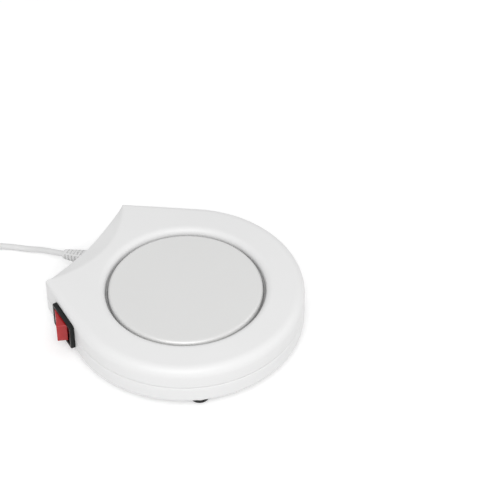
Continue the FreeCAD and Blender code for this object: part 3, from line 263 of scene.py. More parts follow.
# Strain relief: a tapered white moulding clipped in the back wall, with staggered
# slots across it, so that it bends without a kink.
def mesh_of(name, points, faces, finish):
    """A smooth-shaded piece from arrays of points, in mm, and of faces' corners."""
    mesh = bpy.data.meshes.new(name)
    mesh.from_pydata((np.asarray(points).reshape(-1, 3) * MM).tolist(), [],
                     [list(face) for face in faces])
    mesh.update()
    mesh.polygons.foreach_set("use_smooth", np.ones(len(mesh.polygons), bool))
    piece = bpy.data.objects.new(name, mesh)
    bpy.context.scene.collection.objects.link(piece)
    mesh.materials.append(finish)
    return piece


def net(rows, columns, first=0, ring=False):
    """Quads over a grid whose columns close round, and whose rows do too if ring."""
    row = np.arange(rows if ring else rows - 1)[:, None]
    column = np.arange(columns)[None, :]
    next_row = (row + 1) % rows
    next_column = (column + 1) % columns
    quads = np.stack([row * columns + column, row * columns + next_column,
                      next_row * columns + next_column, next_row * columns + column], -1)
    return (quads.reshape(-1, 4) + first).tolist()


def capped(grid, first=0):
    """Points and faces of a grid of rings, its first and last ring closed by a fan
    about their middles."""
    rows, columns = grid.shape[:2]
    faces = net(rows, columns, first)
    points = np.vstack([grid.reshape(-1, 3), grid[0].mean(0), grid[-1].mean(0)])
    low = first + rows * columns
    top = first + (rows - 1) * columns
    for i in range(columns):
        after = (i + 1) % columns
        faces.append([first + after, first + i, low])
        faces.append([top + i, top + after, low + 1])
    return points, faces


def outwards(piece):
    """Turn a closed mesh's faces outwards where its volume comes out negative."""
    mesh = piece.data
    mesh.calc_loop_triangles()
    places = np.empty(len(mesh.vertices) * 3)
    mesh.vertices.foreach_get("co", places)
    corners = np.empty(len(mesh.loop_triangles) * 3, int)
    mesh.loop_triangles.foreach_get("vertices", corners)
    a, b, c = places.reshape(-1, 3)[corners].reshape(-1, 3, 3).swapaxes(0, 1)
    if (a * np.cross(b, c)).sum() < 0:
        mesh.flip_normals()
        mesh.update()
    return piece


around = np.linspace(0, 2 * np.pi, 72, endpoint=False)
# Distances along the relief's line from the wall's outer face, and its radius there.
relief_line = [(-5.2, 0.2), (-5.2, 4.2), (-5.0, 4.4), (-3.8, 4.4), (-3.6, 4.2), (-3.6, 2.9),
               (0.05, 2.9), (0.1, 4.1), (0.3, 4.32), (1.4, 4.35), (1.55, 4.2)]
relief_end = COLLAR + RELIEF_LENGTH
for at in np.linspace(COLLAR + 0.4, relief_end - 0.3, 150):
    taper = (RELIEF_ROOT - RELIEF_TIP) * (at - COLLAR) / RELIEF_LENGTH
    relief_line.append((at, RELIEF_ROOT - taper))
relief_line += [(relief_end - 0.05, 2.5), (relief_end, 2.3), (relief_end, 0.5)]
along_line, radius_there = np.array(relief_line).T
# Along the line the heading dips smoothly from level to the droop.
FINE_STEP = 0.01
fine_s = np.linspace(-6, 19, 2501)
dip = DROOP * np.clip((fine_s + 0.2) / 2.4, 0, 1)
run_y = np.cumsum(np.cos(dip)) * FINE_STEP
run_z = -np.cumsum(np.sin(dip)) * FINE_STEP
run_y -= np.interp(0, fine_s, run_y)
run_z -= np.interp(0, fine_s, run_z)
line_y = BACK_WALL + np.interp(along_line, fine_s, run_y)
line_z = EXIT_Z + np.interp(along_line, fine_s, run_z)
lean = np.interp(along_line, fine_s, dip)
# Smooth-edged slots are cut halfway round from each side, those of one side half a
# pitch behind those of the other, and a rib is left whole between their ends.
SLOTS, FIRST_SLOT, SLOT_PITCH, SLOT_HALF, SLOT_EDGE = 10, 2.5, 1.25, 0.7, 0.14
SLOT_SHARE = 0.6
split = np.radians(135)
depth = np.zeros((len(along_line), len(around)))
for slot_number in range(SLOTS):
    at = COLLAR + FIRST_SLOT + SLOT_PITCH * slot_number
    across = np.clip((SLOT_HALF - np.abs(along_line - at)) / SLOT_EDGE, 0, 1)[:, None]
    half = np.sin(around - split) * (1 if slot_number % 2 else -1)
    round_it = np.clip((half - 0.2) / 0.1, 0, 1)[None, :]
    depth = np.maximum(depth, SLOT_SHARE * radius_there[:, None] * across * round_it)
width = radius_there[:, None] - depth
level_side = width * np.cos(around)[None, :]
upright = width * np.sin(around)[None, :]
relief_grid = np.stack([level_side, line_y[:, None] + upright * np.sin(lean)[:, None],
                        line_z[:, None] + upright * np.cos(lean)[:, None]], -1)
soft_white = clouded("relief_white", (0.74, 0.74, 0.74), 0.5, grain=1800.0, bump=0.12)
relief = outwards(mesh_of("strain_sleeve", *capped(relief_grid), soft_white))
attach(relief, "housing")
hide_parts("strain_relief")


# Coil tie: a flat black band closed round one side of the coil, 4 mm wide, with
# rounded bends where it goes over the edge turns.
def rounded_box(half_x, half_y, corner, count=64):
    """Points round a rectangle with round corners, evenly spread by angle in each
    corner, anticlockwise from the right side's lower corner."""
    quarter = np.linspace(0, np.pi / 2, count // 4)
    points = []
    for turn, (sx, sy) in enumerate(((1, 1), (-1, 1), (-1, -1), (1, -1))):
        bend = quarter + turn * np.pi / 2
        points.append(np.stack([sx * (half_x - corner) + corner * np.cos(bend),
                                sy * (half_y - corner) + corner * np.sin(bend)], -1))
    return np.concatenate(points)


TIE_OUT, TIE_IN, TIE_HIGH, TIE_BEND = 24.0, 11.0, 15.8, 2.1
section = []
for inset, half_width in ((0.0, 1.8), (0.1, 2.0), (0.3, 2.0), (TIE_SHEET, 1.8),
                          (TIE_SHEET, -1.8), (0.3, -2.0), (0.1, -2.0), (0.0, -1.8)):
    loop = rounded_box((TIE_OUT - TIE_IN) / 2 - inset, TIE_HIGH / 2 - inset, TIE_BEND - inset)
    middle = by_coil(-(TIE_OUT + TIE_IN) / 2, 0, TIE_HIGH / 2)
    section.append(middle + loop[:, :1] * coil_outward + loop[:, 1:] * np.array([0, 0, 1.0])
                   + half_width * coil_ahead)
section = np.array(section)
tie = outwards(mesh_of("coil_band", section, net(len(section), section.shape[1], ring=True),
                       clouded("band_black", (0.02, 0.02, 0.02), 0.55)))
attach(tie, "housing")
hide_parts("cord_tie")


# Plug: a moulded body that swells from the lead's neck to a flat-sided grip with
# three shallow finger grooves on each side, and two flat blades in its face.
plug_ahead, plug_side = -coil_outward, -coil_ahead
PLUG_LENGTH, NECK_LENGTH, GRIP_START = 25.0, 9.0, 7.6
x = np.concatenate([[0, 0.1, 0.5], np.linspace(1, 7, 7), np.linspace(GRIP_START, 10.4, 10),
                    np.linspace(11, 23.8, 40),
                    [PLUG_LENGTH - 0.5, PLUG_LENGTH - 0.2, PLUG_LENGTH, PLUG_LENGTH]])
cone = 2.3 + 1.7 * np.clip(x / NECK_LENGTH, 0, 1)
grow = np.clip((x - GRIP_START) / 2.4, 0, 1)
grow = np.sqrt(1 - (1 - grow) ** 2)
half_w = cone + grow * (5.58 + 3.42 * np.clip((x - 8) / 9.0, 0, 1) - cone)
half_h = cone + grow * (PLUG_HALF_HEIGHT - cone)
GROOVES, GROOVE_DEPTH, GROOVED_FROM, GROOVED_TO = 3, 0.35, 12.0, 21.0
wave = np.sin((x - GROOVED_FROM) / (GROOVED_TO - GROOVED_FROM) * GROOVES * np.pi) ** 2
half_w -= GROOVE_DEPTH * np.where((x > GROOVED_FROM) & (x < GROOVED_TO), wave, 0)
trim = np.zeros(len(x))
trim[0], trim[-4:] = 0.15, (0.05, 0.2, 0.5, 3.5)
squareness = 2.0 + 4.0 * grow
angle = np.linspace(0, 2 * np.pi, 80, endpoint=False)
c, q = np.cos(angle)[None, :], np.sin(angle)[None, :]
power = 2.0 / squareness[:, None]
side = (half_w - trim)[:, None] * np.sign(c) * np.abs(c) ** power
high = (half_h - trim)[:, None] * np.sign(q) * np.abs(q) ** power
plug_grid = plug_start + x[:, None, None] * plug_ahead + side[..., None] * plug_side \
    + high[..., None] * np.array([0, 0, 1.0])
plug = outwards(mesh_of("plug_grip", *capped(plug_grid), soft_white))
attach(plug, "housing")
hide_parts("plug_body")


# Housing covers: two moulded white shells, 2.2 mm thick, that meet at a fine seam
# round the walls. The front is round, the side walls are straight, the back hollow.
WALL = 2.2
TOP_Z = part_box("top_cover")[1][2] / MM
SEAM_Z = 13.1
CORNER_SHARE = 0.568
CORNER_X = FRONT_RADIUS * CORNER_SHARE
CORNER_Y = PLATE_Y + FRONT_RADIUS + CORNER_REACH
corner_far = np.hypot(CORNER_X, CORNER_Y - PLATE_Y)
SIDE_ANGLE = np.arctan2(CORNER_Y - PLATE_Y, CORNER_X) - np.arccos(FRONT_RADIUS / corner_far)
BACK_RADIUS = (CORNER_X ** 2 + BACK_HOLLOW ** 2) / (2 * BACK_HOLLOW)
BACK_CENTRE = BACK_WALL + BACK_RADIUS
LIP_ROUND, LIP_LOW = 3.5, 19.6
LIP_START = 40.7 + LIP_ROUND
EDGE_ROUND, TIP_ROUND = 5.0, 2.4


def plan(inset, corner):
    """The covers' outline in plan, drawn in by an inset, with round back corners.
    Each straight side is tangent to the front circle and meets the back arc; the
    corner's arc touches both, its centre at their offsets' meeting point. Returns
    the points and their outward headings, anticlockwise from the front."""
    front = FRONT_RADIUS - inset
    back = BACK_RADIUS + inset
    normal = np.array([np.cos(SIDE_ANGLE), np.sin(SIDE_ANGLE)])
    along = np.array([-normal[1], normal[0]])

    def meet(side_at, back_at):
        """Where a line beside the wall meets a circle round the back arc's centre."""
        gap = normal * side_at + np.array([0, PLATE_Y - BACK_CENTRE])
        reach = gap @ along
        run = -reach - np.sqrt(reach ** 2 - gap @ gap + back_at ** 2)
        return normal * side_at + along * run

    centre = meet(front - corner, back + corner)
    to_back = centre - np.array([0, BACK_CENTRE - PLATE_Y])
    to_back /= -np.linalg.norm(to_back)
    end = np.arctan2(to_back[1], to_back[0])
    bend = np.linspace(SIDE_ANGLE, end, 14)
    corner_at = centre + corner * np.stack([np.cos(bend), np.sin(bend)], -1)
    front_turn = np.linspace(-np.pi / 2, SIDE_ANGLE, 120, endpoint=False)
    front_at = front * np.stack([np.cos(front_turn), np.sin(front_turn)], -1)
    share = np.linspace(0, 1, 44)[1:-1, None]
    side_at = normal * front + share * (corner_at[0] - normal * front)
    inwards = np.linspace(1, 0, 26)[1:]
    spread = np.arctan2(corner_at[-1][0], BACK_CENTRE - PLATE_Y - corner_at[-1][1]) * inwards
    back_at = np.stack([back * np.sin(spread),
                        BACK_CENTRE - PLATE_Y - back * np.cos(spread)], -1)
    points = np.concatenate([front_at, side_at, corner_at, back_at])
    heading = np.concatenate([front_turn, np.full(len(side_at), SIDE_ANGLE), bend,
                              np.pi / 2 + spread])
    points = np.concatenate([points, points[1:-1][::-1] * (-1, 1)])
    heading = np.concatenate([heading, np.pi - heading[1:-1][::-1]])
    return points + np.array([0, PLATE_Y]), heading


def edge_round(points, full, fine):
    """The edge's radius beside a point: full round the front and along the start of
    the side walls, easing in a straight line to fine at the back corners."""
    px, py = np.abs(points[..., 0]), points[..., 1] - PLATE_Y
    along = py * np.cos(SIDE_ANGLE) - px * np.sin(SIDE_ANGLE)
    length = (CORNER_Y - PLATE_Y) * np.cos(SIDE_ANGLE) - CORNER_X * np.sin(SIDE_ANGLE)
    return full + (fine - full) * np.clip(along / length, 0, 1)


def slope_fall(points):
    """How far the slope at the back lies below the flat top: it starts at a ridge
    9.8 mm ahead of the back wall in the middle and 0.5 mm ahead at the corners, and
    falls evenly to the wall, 3.6 mm there in the middle and 2.4 mm at the corners."""
    px, py = points[..., 0], points[..., 1]
    tip_run, middle_run, tip_depth, middle_depth, narrowing = 0.5, 9.8, 2.35, 3.6, 0.35
    share = np.abs(px) / CORNER_X
    run = tip_run + (middle_run - tip_run) * np.clip(1 - share ** 2, 0, 1)
    depth = tip_depth + (middle_depth - tip_depth) / (1 + (share / narrowing) ** 2)
    wall_y = BACK_CENTRE - np.sqrt(BACK_RADIUS ** 2 - px ** 2)
    past = py - (wall_y - run)
    soft = 0.25
    ramp = np.where(past < -soft, 0.0,
                    np.where(past > soft, past, (past + soft) ** 2 / (4 * soft)))
    return np.minimum(ramp * depth / run, depth + 1.0)


def top_height(points, inset, full, fine, back_edge):
    """Height of the covers' top: the flat top less a quarter-round fall near the front
    and side walls, less the slope at the back, less a small round at the back edge,
    the first two joined as the cube root of the sum of their cubes."""
    px, py = points[..., 0], points[..., 1] - PLATE_Y
    distance = np.hypot(px, py)
    beyond = np.abs(px) * np.cos(SIDE_ANGLE) + py * np.sin(SIDE_ANGLE)
    in_front = np.arctan2(py, np.abs(px)) < SIDE_ANGLE
    wall_gap = FRONT_RADIUS - inset - np.where(in_front, distance, beyond)
    edge = edge_round(points, full, fine)
    near = np.clip(edge - wall_gap, 0, edge)
    fall = edge - np.sqrt(edge ** 2 - near ** 2)
    to_back = np.hypot(px, points[..., 1] - BACK_CENTRE) - BACK_RADIUS - inset
    near_back = np.clip(back_edge - to_back, 0, back_edge)
    back_fall = back_edge - np.sqrt(back_edge ** 2 - near_back ** 2)
    return TOP_Z - inset - np.cbrt(fall ** 3 + slope_fall(points) ** 3) - back_fall


def cover_face(inset, full, fine, back_edge, seam_cut):
    """One face of the top cover: up the lip of the plate opening, over its round,
    across the top to the outline and down the wall to the seam."""
    rim, heading = plan(inset, 1.5 if inset == 0 else 0.4)
    spoke = rim - np.array([0, PLATE_Y])
    reach = np.hypot(spoke[:, 0], spoke[:, 1])
    spoke = spoke / reach[:, None]
    slant = np.clip(spoke[:, 0] * np.cos(heading) + spoke[:, 1] * np.sin(heading), 0.45, 1)
    rows = []
    lip = LIP_ROUND - inset
    for z in (LIP_LOW, LIP_LOW + 0.4, LIP_LOW + 1.0):
        rows.append(np.column_stack([spoke * (LIP_START - lip) + (0, PLATE_Y),
                                     np.full(len(rim), z)]))
    for turn in np.radians(np.linspace(0, 90, 13)):
        out = LIP_START - lip * np.cos(turn)
        z = TOP_Z - LIP_ROUND + lip * np.sin(turn)
        rows.append(np.column_stack([spoke * out + (0, PLATE_Y), np.full(len(rim), z)]))
    edge = edge_round(rim, full, fine)
    round_in = [edge * (1 - np.sin(turn)) for turn in np.radians(np.linspace(0, 90, 15))]
    first_in = round_in[0] / slant
    fills = np.linspace(0, 1, 16)[1:-1]
    steps = [(reach - first_in - LIP_START) * share + LIP_START for share in fills]
    steps += [reach - in_by / slant for in_by in round_in]
    for step in steps:
        flat = spoke * np.maximum(step, LIP_START + 0.02)[:, None] + (0, PLATE_Y)
        rows.append(np.column_stack([flat, top_height(flat, inset, full, fine, back_edge)]))
    rim_z = rows[-1][:, 2]
    way = np.column_stack([np.cos(heading), np.sin(heading)])
    for share in np.linspace(0, 1, 9)[1:]:
        z = rim_z + (SEAM_Z + seam_cut - rim_z) * share
        rows.append(np.column_stack([rim, z]))
    if seam_cut:
        rows.append(np.column_stack([rim - way * 0.15, np.full(len(rim), SEAM_Z + 0.12)]))
        rows.append(np.column_stack([rim - way * 0.35, np.full(len(rim), SEAM_Z + 0.03)]))
    return np.array(rows)


def revolve(profile, x=0.0, y=0.0, count=48):
    """A closed profile of (radius, height) points carried once round an upright axis."""
    turn = np.linspace(0, 2 * np.pi, count, endpoint=False)
    profile = np.array(profile, float)
    return np.stack([x + profile[:, :1] * np.cos(turn), y + profile[:, :1] * np.sin(turn),
                     np.repeat(profile[:, 1:], count, 1)], -1)


def gather(parts):
    """Several closed grids in one mesh, each turned outwards: 'ring' parts close both
    ways, 'fan' parts are closed at their first and last rows."""
    points, faces, first = [], [], 0
    for kind, grid in parts:
        if kind == "ring":
            new_points, new_faces = grid.reshape(-1, 3), net(*grid.shape[:2], first, True)
        else:
            new_points, new_faces = capped(grid, first)
        corners = [[f[0], f[1], f[2]] for f in new_faces]
        corners += [[f[0], f[2], f[3]] for f in new_faces if len(f) == 4]
        a, b, c = new_points[np.array(corners) - first].swapaxes(0, 1)
        if (a * np.cross(b, c)).sum() < 0:
            new_faces = [f[::-1] for f in new_faces]
        points.append(new_points)
        faces += new_faces
        first += len(new_points)
    return np.concatenate(points), faces


white = clouded("housing_white", (0.78, 0.78, 0.78), 0.4, mottle=0.012, cloud=25.0,
                grain=2400.0, bump=0.035)
outer = cover_face(0.0, EDGE_ROUND, TIP_ROUND, 0.4, 0.25)
inner = cover_face(WALL, EDGE_ROUND - WALL, 1.6, 0.2, 0.0)
FOOT_REACH, FOOT_ANGLE = FRONT_RADIUS - 6.6, np.radians(40)
foot_x, foot_y = FOOT_REACH * np.cos(FOOT_ANGLE), FOOT_REACH * np.sin(FOOT_ANGLE)
FEET = [(foot_x, PLATE_Y - foot_y), (-foot_x, PLATE_Y - foot_y),
        (23.0, PLATE_Y + 47.5), (-23.0, PLATE_Y + 47.5)]
RING_REACH = LIP_START + 2.7
RING_SCREWS = [(RING_REACH * np.cos(a), PLATE_Y + RING_REACH * np.sin(a))
               for a in np.radians((30, 150, 270))]
BOSS_TOP, RING_Z = 9.8, 17.4
pillar_line = [(1.45, BOSS_TOP), (3.6, BOSS_TOP), (3.6, 22.0), (1.45, 22.0)]
post_line = [(1.05, RING_Z), (2.2, RING_Z), (2.2, 22.6), (1.05, 22.6)]
cover_parts = [("ring", np.concatenate([outer, inner[::-1]]))]
cover_parts += [("ring", revolve(pillar_line, px, py)) for px, py in FEET]
cover_parts += [("ring", revolve(post_line, px, py)) for px, py in RING_SCREWS]
top_cover = mesh_of("cover_shell", *gather(cover_parts), white)
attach(top_cover, "housing")
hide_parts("top_cover")


# Base tray: the lower shell, with a round bottom edge, a tongue inside the seam,
# a boss for each foot and the block that the cord is clamped on.
def tray_face(inset, floor_z, bottom_round, rim_rows):
    """One face of the tray: down the wall from its rim, round the bottom edge and in
    over the floor to a small ring round the middle."""
    rim, heading = plan(inset, 1.5 if inset == 0 else 0.4)
    way = np.column_stack([np.cos(heading), np.sin(heading)])
    rows = [np.column_stack([rim - way * back, np.full(len(rim), z)]) for back, z in rim_rows]
    top = rim_rows[-1][1]
    for share in np.linspace(0, 1, 6)[1:]:
        z = top + (floor_z + bottom_round - top) * share
        rows.append(np.column_stack([rim, np.full(len(rim), z)]))
    for turn in np.radians(np.linspace(0, 90, 8))[1:]:
        rows.append(np.column_stack([
            rim - way * bottom_round * (1 - np.cos(turn)),
            np.full(len(rim), floor_z + bottom_round * (1 - np.sin(turn)))]))
    edge = rows[-1][:, :2] - (0, PLATE_Y)
    for share in np.linspace(1, 0.02, 14)[1:]:
        rows.append(np.column_stack([edge * share + (0, PLATE_Y), np.full(len(rim), floor_z)]))
    return np.array(rows)


BOTTOM_Z, BOTTOM_ROUND = 3.7, 1.3
PAD_TOP, WELL_TOP = 2.4, 8.0
TONGUE_TOP = SEAM_Z + 1.8
tray_out = tray_face(0.0, BOTTOM_Z, BOTTOM_ROUND,
                     [(0.35, SEAM_Z - 0.03), (0.15, SEAM_Z - 0.12), (0.0, SEAM_Z - 0.25)])
tray_in = tray_face(WALL, BOTTOM_Z + WALL, 0.6,
                    [(-1.0, SEAM_Z), (-1.0, TONGUE_TOP - 0.1), (-0.9, TONGUE_TOP),
                     (0.0, TONGUE_TOP)])
boss_line = [(3.1, PAD_TOP), (5.0, PAD_TOP), (5.2, PAD_TOP + 0.2), (5.2, BOSS_TOP),
             (1.6, BOSS_TOP), (1.6, WELL_TOP), (3.1, WELL_TOP)]
tray_parts = [("fan", np.concatenate([tray_out[::-1], tray_in]))]
tray_parts += [("ring", revolve(boss_line, px, py)) for px, py in FEET]
BLOCK_HALF_DEPTH, BLOCK_FROM_WALL = 2.75, 13.5
block = rounded_box(8.0, BLOCK_HALF_DEPTH, 0.3, 16)
block[:, 1] += BACK_WALL - BLOCK_FROM_WALL + BLOCK_HALF_DEPTH
tray_parts.append(("fan", np.array([np.column_stack([block, np.full(len(block), z)])
                                    for z in (BOTTOM_Z + 2.0, EXIT_Z - CORD_RADIUS)])))
base_tray = mesh_of("base_tray", *gather(tray_parts), white)
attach(base_tray, "housing")
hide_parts("base_cover")


# Switch opening and cord notch: cut through both shells where the switch is
# pressed into the left wall and where the strain relief leaves the back.
switch_out = np.array([-np.cos(SIDE_ANGLE), np.sin(SIDE_ANGLE), 0.0])
switch_front = np.array([-np.sin(SIDE_ANGLE), -np.cos(SIDE_ANGLE), 0.0])
switch_up = np.array([0.0, 0.0, 1.0])
FROM_CORNER, SWITCH_Z = 23.5, 13.0
SWITCH_AT = np.array([-CORNER_X, CORNER_Y, SWITCH_Z]) + FROM_CORNER * switch_front


def on_switch(points):
    """Points in the switch's own frame (out of the wall, to the front, up)."""
    points = np.asarray(points, float)
    return SWITCH_AT + points[..., :1] * switch_out + points[..., 1:2] * switch_front \
        + points[..., 2:] * switch_up


CASE_LENGTH, CASE_WIDTH, NOTCH = 19.0, 13.0, 3.0
opening = rounded_box(CASE_LENGTH / 2 + 0.1, CASE_WIDTH / 2 + 0.1, 0.4, 16)
panel = on_switch(np.array([np.column_stack([np.full(len(opening), out), opening])
                            for out in (-5.0, 3.0)]))
turn = np.linspace(0, 2 * np.pi, 48, endpoint=False)
notch = np.array([np.column_stack([NOTCH * np.cos(turn), np.full(48, BACK_WALL + y),
                                   EXIT_Z + NOTCH * np.sin(turn)]) for y in (-6.0, 4.0)])
cutter = mesh_of("opening_cutter", *gather([("fan", panel), ("fan", notch)]), white)
for shell in (top_cover, base_tray):
    carve = shell.modifiers.new("openings", "BOOLEAN")
    carve.operation = "DIFFERENCE"
    carve.solver = "EXACT"
    carve.object = cutter
    bpy.context.view_layer.update()
    carved = bpy.data.meshes.new_from_object(
        shell.evaluated_get(bpy.context.evaluated_depsgraph_get()))
    shell.modifiers.clear()
    old = shell.data
    shell.data = carved
    bpy.data.meshes.remove(old)
bpy.data.objects.remove(cutter)


# Heating plate: a shallow aluminium pan with a satin pale finish, its edge rounded
# over 2 mm and its flange held under the lip of the opening.
PLATE_RADIUS, PLATE_TOP, PLATE_SHEET, SHOULDER = 39.2, TOP_Z - 1.6, 1.0, 2.0
FLANGE_TOP = RING_Z + PLATE_SHEET
inside_radius, inside_top = PLATE_RADIUS - PLATE_SHEET, PLATE_TOP - PLATE_SHEET
plate_line = [(0.4, PLATE_TOP), (12, PLATE_TOP), (24, PLATE_TOP), (36, PLATE_TOP)]
plate_line += [(PLATE_RADIUS - SHOULDER * (1 - np.sin(t)),
                PLATE_TOP - SHOULDER * (1 - np.cos(t)))
               for t in np.radians(np.linspace(0, 90, 12))]
plate_line += [(PLATE_RADIUS, FLANGE_TOP + 0.8), (PLATE_RADIUS + 0.05, FLANGE_TOP + 0.2),
               (PLATE_RADIUS + 0.3, FLANGE_TOP), (LIP_START - 0.2, FLANGE_TOP),
               (LIP_START, FLANGE_TOP - 0.2), (LIP_START, RING_Z), (inside_radius, RING_Z),
               (inside_radius, inside_top - 0.8), (inside_radius - 0.8, inside_top),
               (24, inside_top), (0.4, inside_top)]
plate_satin = clouded("plate_satin", (0.70, 0.70, 0.695), 0.36, mottle=0.01, cloud=18.0,
                      grain=900.0, bump=0.03, metallic=0.15)
plate = outwards(mesh_of("warming_plate", *capped(revolve(plate_line, 0, PLATE_Y, 180)),
                         plate_satin))
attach(plate, "housing")
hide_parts("heating_plate")

# Gasket: a soft pale silicone ring that seals the gap between plate and lip, with
# its visible inner edge rounded. It is coloured a mid grey, darker than the silicone,
# as painted shade of the deep groove it sits in.
gasket_in, gasket_top = PLATE_RADIUS + 0.3, LIP_LOW - 0.02
gasket_line = [(gasket_in, FLANGE_TOP + 0.05), (LIP_START, FLANGE_TOP + 0.05),
               (LIP_START, gasket_top), (gasket_in + 0.4, gasket_top),
               (gasket_in + 0.12, gasket_top - 0.08), (gasket_in, gasket_top - 0.28)]
# Mid grey: painted shade of the groove, darker than the pale silicone itself.
gasket_grey_painted_shade = clouded("gasket_painted_groove_shade", (0.36, 0.36, 0.36), 0.6, mottle=0.03)
gasket_grid = revolve(gasket_line, 0, PLATE_Y, 180)
gasket_piece = outwards(mesh_of("gasket_ring", *gather([("ring", gasket_grid)]), gasket_grey_painted_shade))
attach(gasket_piece, "housing")
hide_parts("plate_gasket")


# Rubber feet: four black pads whose pegs plug the screw wells of the base.
pad_line = [(0.3, 0.0), (3.8, 0.0), (4.4, 0.03), (4.75, 0.2), (4.95, 0.5), (5.0, 0.8),
            (5.0, PAD_TOP - 0.1), (4.9, PAD_TOP), (2.9, PAD_TOP), (2.9, PAD_TOP + 1.9),
            (2.8, PAD_TOP + 2.0), (0.3, PAD_TOP + 2.0)]
foot_rubber = clouded("foot_rubber", (0.02, 0.02, 0.02), 0.72, grain=1600.0, bump=0.2,
                      gloss=0.3)
feet = mesh_of("rubber_feet", *gather([("fan", revolve(pad_line, px, py)) for px, py in FEET]),
               foot_rubber)
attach(feet, "housing")
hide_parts("foot_pads")


# Switch body: a black moulding with a raised rounded bezel outside the wall, a deep
# case behind it and a barbed clip at each end that holds it in the opening.
def framed(out, half_length, half_width, corner):
    """A rounded rectangle at a distance out of the wall, in the switch's frame."""
    loop = rounded_box(half_length, half_width, corner, 64)
    return np.column_stack([np.full(len(loop), out), loop])


PROUD, BEZEL_EDGE, CASE_DEPTH, FLOOR_OUT = 2.35, 0.6, 11.0, -9.8
half_l, half_w = CASE_LENGTH / 2, CASE_WIDTH / 2
room_l, room_w = half_l - 0.9, half_w - 0.9
bezel_l, bezel_w = 10.45, 7.45
case_rows = [framed(-CASE_DEPTH, 0.4, 0.3, 0.25),
             framed(-CASE_DEPTH, half_l - 0.2, half_w - 0.2, 0.6),
             framed(-CASE_DEPTH + 0.2, half_l, half_w, 0.7), framed(-0.02, half_l, half_w, 0.7),
             framed(0.0, bezel_l - 0.1, bezel_w - 0.1, 1.2),
             framed(0.15, bezel_l + 0.03, bezel_w + 0.03, 1.3),
             framed(PROUD - BEZEL_EDGE, bezel_l, bezel_w, 1.3)]
for bend in np.radians(np.linspace(15, 90, 6)):
    drawn = 1 - np.cos(bend)
    case_rows.append(framed(PROUD - BEZEL_EDGE * (1 - np.sin(bend)),
                            bezel_l - BEZEL_EDGE * drawn, bezel_w - BEZEL_EDGE * drawn,
                            1.3 - 0.4 * drawn))
case_rows += [framed(PROUD, 9.0, 5.95, 0.9), framed(PROUD - 0.1, 8.75, 5.72, 0.7),
              framed(PROUD - 0.4, 8.62, 5.62, 0.6), framed(0.0, room_l, room_w, 0.6),
              framed(FLOOR_OUT + 0.2, room_l, room_w, 0.6),
              framed(FLOOR_OUT, room_l - 0.2, room_w - 0.2, 0.5),
              framed(FLOOR_OUT, 0.4, 0.3, 0.25)]
switch_black = clouded("switch_black", (0.005, 0.006, 0.006), 0.36, grain=2000.0, bump=0.06,
                       gloss=0.22)
switch_parts = [("fan", on_switch(np.array(case_rows)))]
for end in (-1, 1):
    barb = np.array([[(-WALL - 0.3, end * 9.4, z), (-WALL - 0.3, end * 10.4, z),
                      (-WALL - 3.5, end * 9.4, z)] for z in (-2.0, 2.0)])
    switch_parts.append(("fan", on_switch(barb)))
switch_case = mesh_of("switch_case", *gather(switch_parts), switch_black)
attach(switch_case, "housing")
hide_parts("switch_housing")


# Rocker: a red key with a slight dip across its middle, on two pins. At rest it is
# tipped, so that its front end stands out of the bezel and its rear end is sunk.
PIVOT_OUT = -1.35
REST_TILT = np.radians(-21.0)


def on_rocker(points):
    """Points in the rocker's own frame, about its pins, tipped as at rest."""
    points = np.asarray(points, float)
    out = points[..., 0] * np.cos(REST_TILT) - points[..., 1] * np.sin(REST_TILT) + PIVOT_OUT
    front = points[..., 0] * np.sin(REST_TILT) + points[..., 1] * np.cos(REST_TILT)
    return on_switch(np.stack([out, front, points[..., 2]], -1))


def rounded_outline(corners, radii, per_corner=7):
    """A closed outline of straight sides whose corners are bent round: each corner is
    a parabola from its radius before to its radius after."""
    corners = np.array(corners, float)
    points = []
    for i, radius in enumerate(radii):
        at, before, after = corners[i], corners[i - 1], corners[(i + 1) % len(corners)]
        start = at + (before - at) / np.linalg.norm(before - at) * radius
        stop = at + (after - at) / np.linalg.norm(after - at) * radius
        share = np.linspace(0, 1, per_corner)[:, None]
        points.append((1 - share) ** 2 * start + 2 * share * (1 - share) * at + share ** 2 * stop)
    return np.concatenate(points)


KEY_HEIGHT, KEY_DIP, KEY_HALF, KEY_LOW = 6.0, 0.25, 6.3, 0.85
side_line = rounded_outline(
    [(KEY_HEIGHT, 0.0), (KEY_HEIGHT + KEY_DIP, KEY_HALF), (KEY_LOW, KEY_HALF),
     (KEY_LOW, -KEY_HALF), (KEY_HEIGHT + KEY_DIP, -KEY_HALF)],
    [2.6, 0.45, 0.3, 0.3, 0.45])
key_middle = np.array([3.4, 0.0])
PIN_RADIUS, PIN_END = 1.2, 6.2
rocker_rows = []
for z, drawn in ((-5.3, 0.35), (-5.26, 0.16), (-5.1, 0.04), (-4.8, 0.0), (4.8, 0.0),
                 (5.1, 0.04), (5.26, 0.16), (5.3, 0.35)):
    away = side_line - key_middle
    pulled = side_line - away / np.linalg.norm(away, axis=1)[:, None] * drawn
    rocker_rows.append(np.column_stack([pulled, np.full(len(pulled), z)]))
pin_rows = np.array([np.column_stack([PIN_RADIUS * np.cos(turn), PIN_RADIUS * np.sin(turn),
                                      np.full(48, z)]) for z in (-PIN_END, PIN_END)])
red = clouded("rocker_red", (0.42, 0.012, 0.014), 0.3, mottle=0.05, grain=2000.0, bump=0.04)
rocker_key = mesh_of("rocker_key", *gather([("fan", on_rocker(np.array(rocker_rows))),
                                            ("fan", on_rocker(pin_rows))]), red)
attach(rocker_key, "rocker")
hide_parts("switch_rocker")


# Marks of the key: a white ring printed on its rear half for off, and a white bar
# on its front half for on, each 0.05 mm proud.
def on_key_face(along, across, lift):
    """Points on the key's faces: along it from the dip, across it, lifted off it."""
    rise = KEY_DIP / KEY_HALF
    normal = np.array([1.0, -rise]) / np.hypot(1, rise)
    mirrored = np.sign(along)
    return np.stack([KEY_HEIGHT + np.abs(along) * rise + lift * normal[0],
                     along + mirrored * lift * normal[1], across + 0 * along], -1)


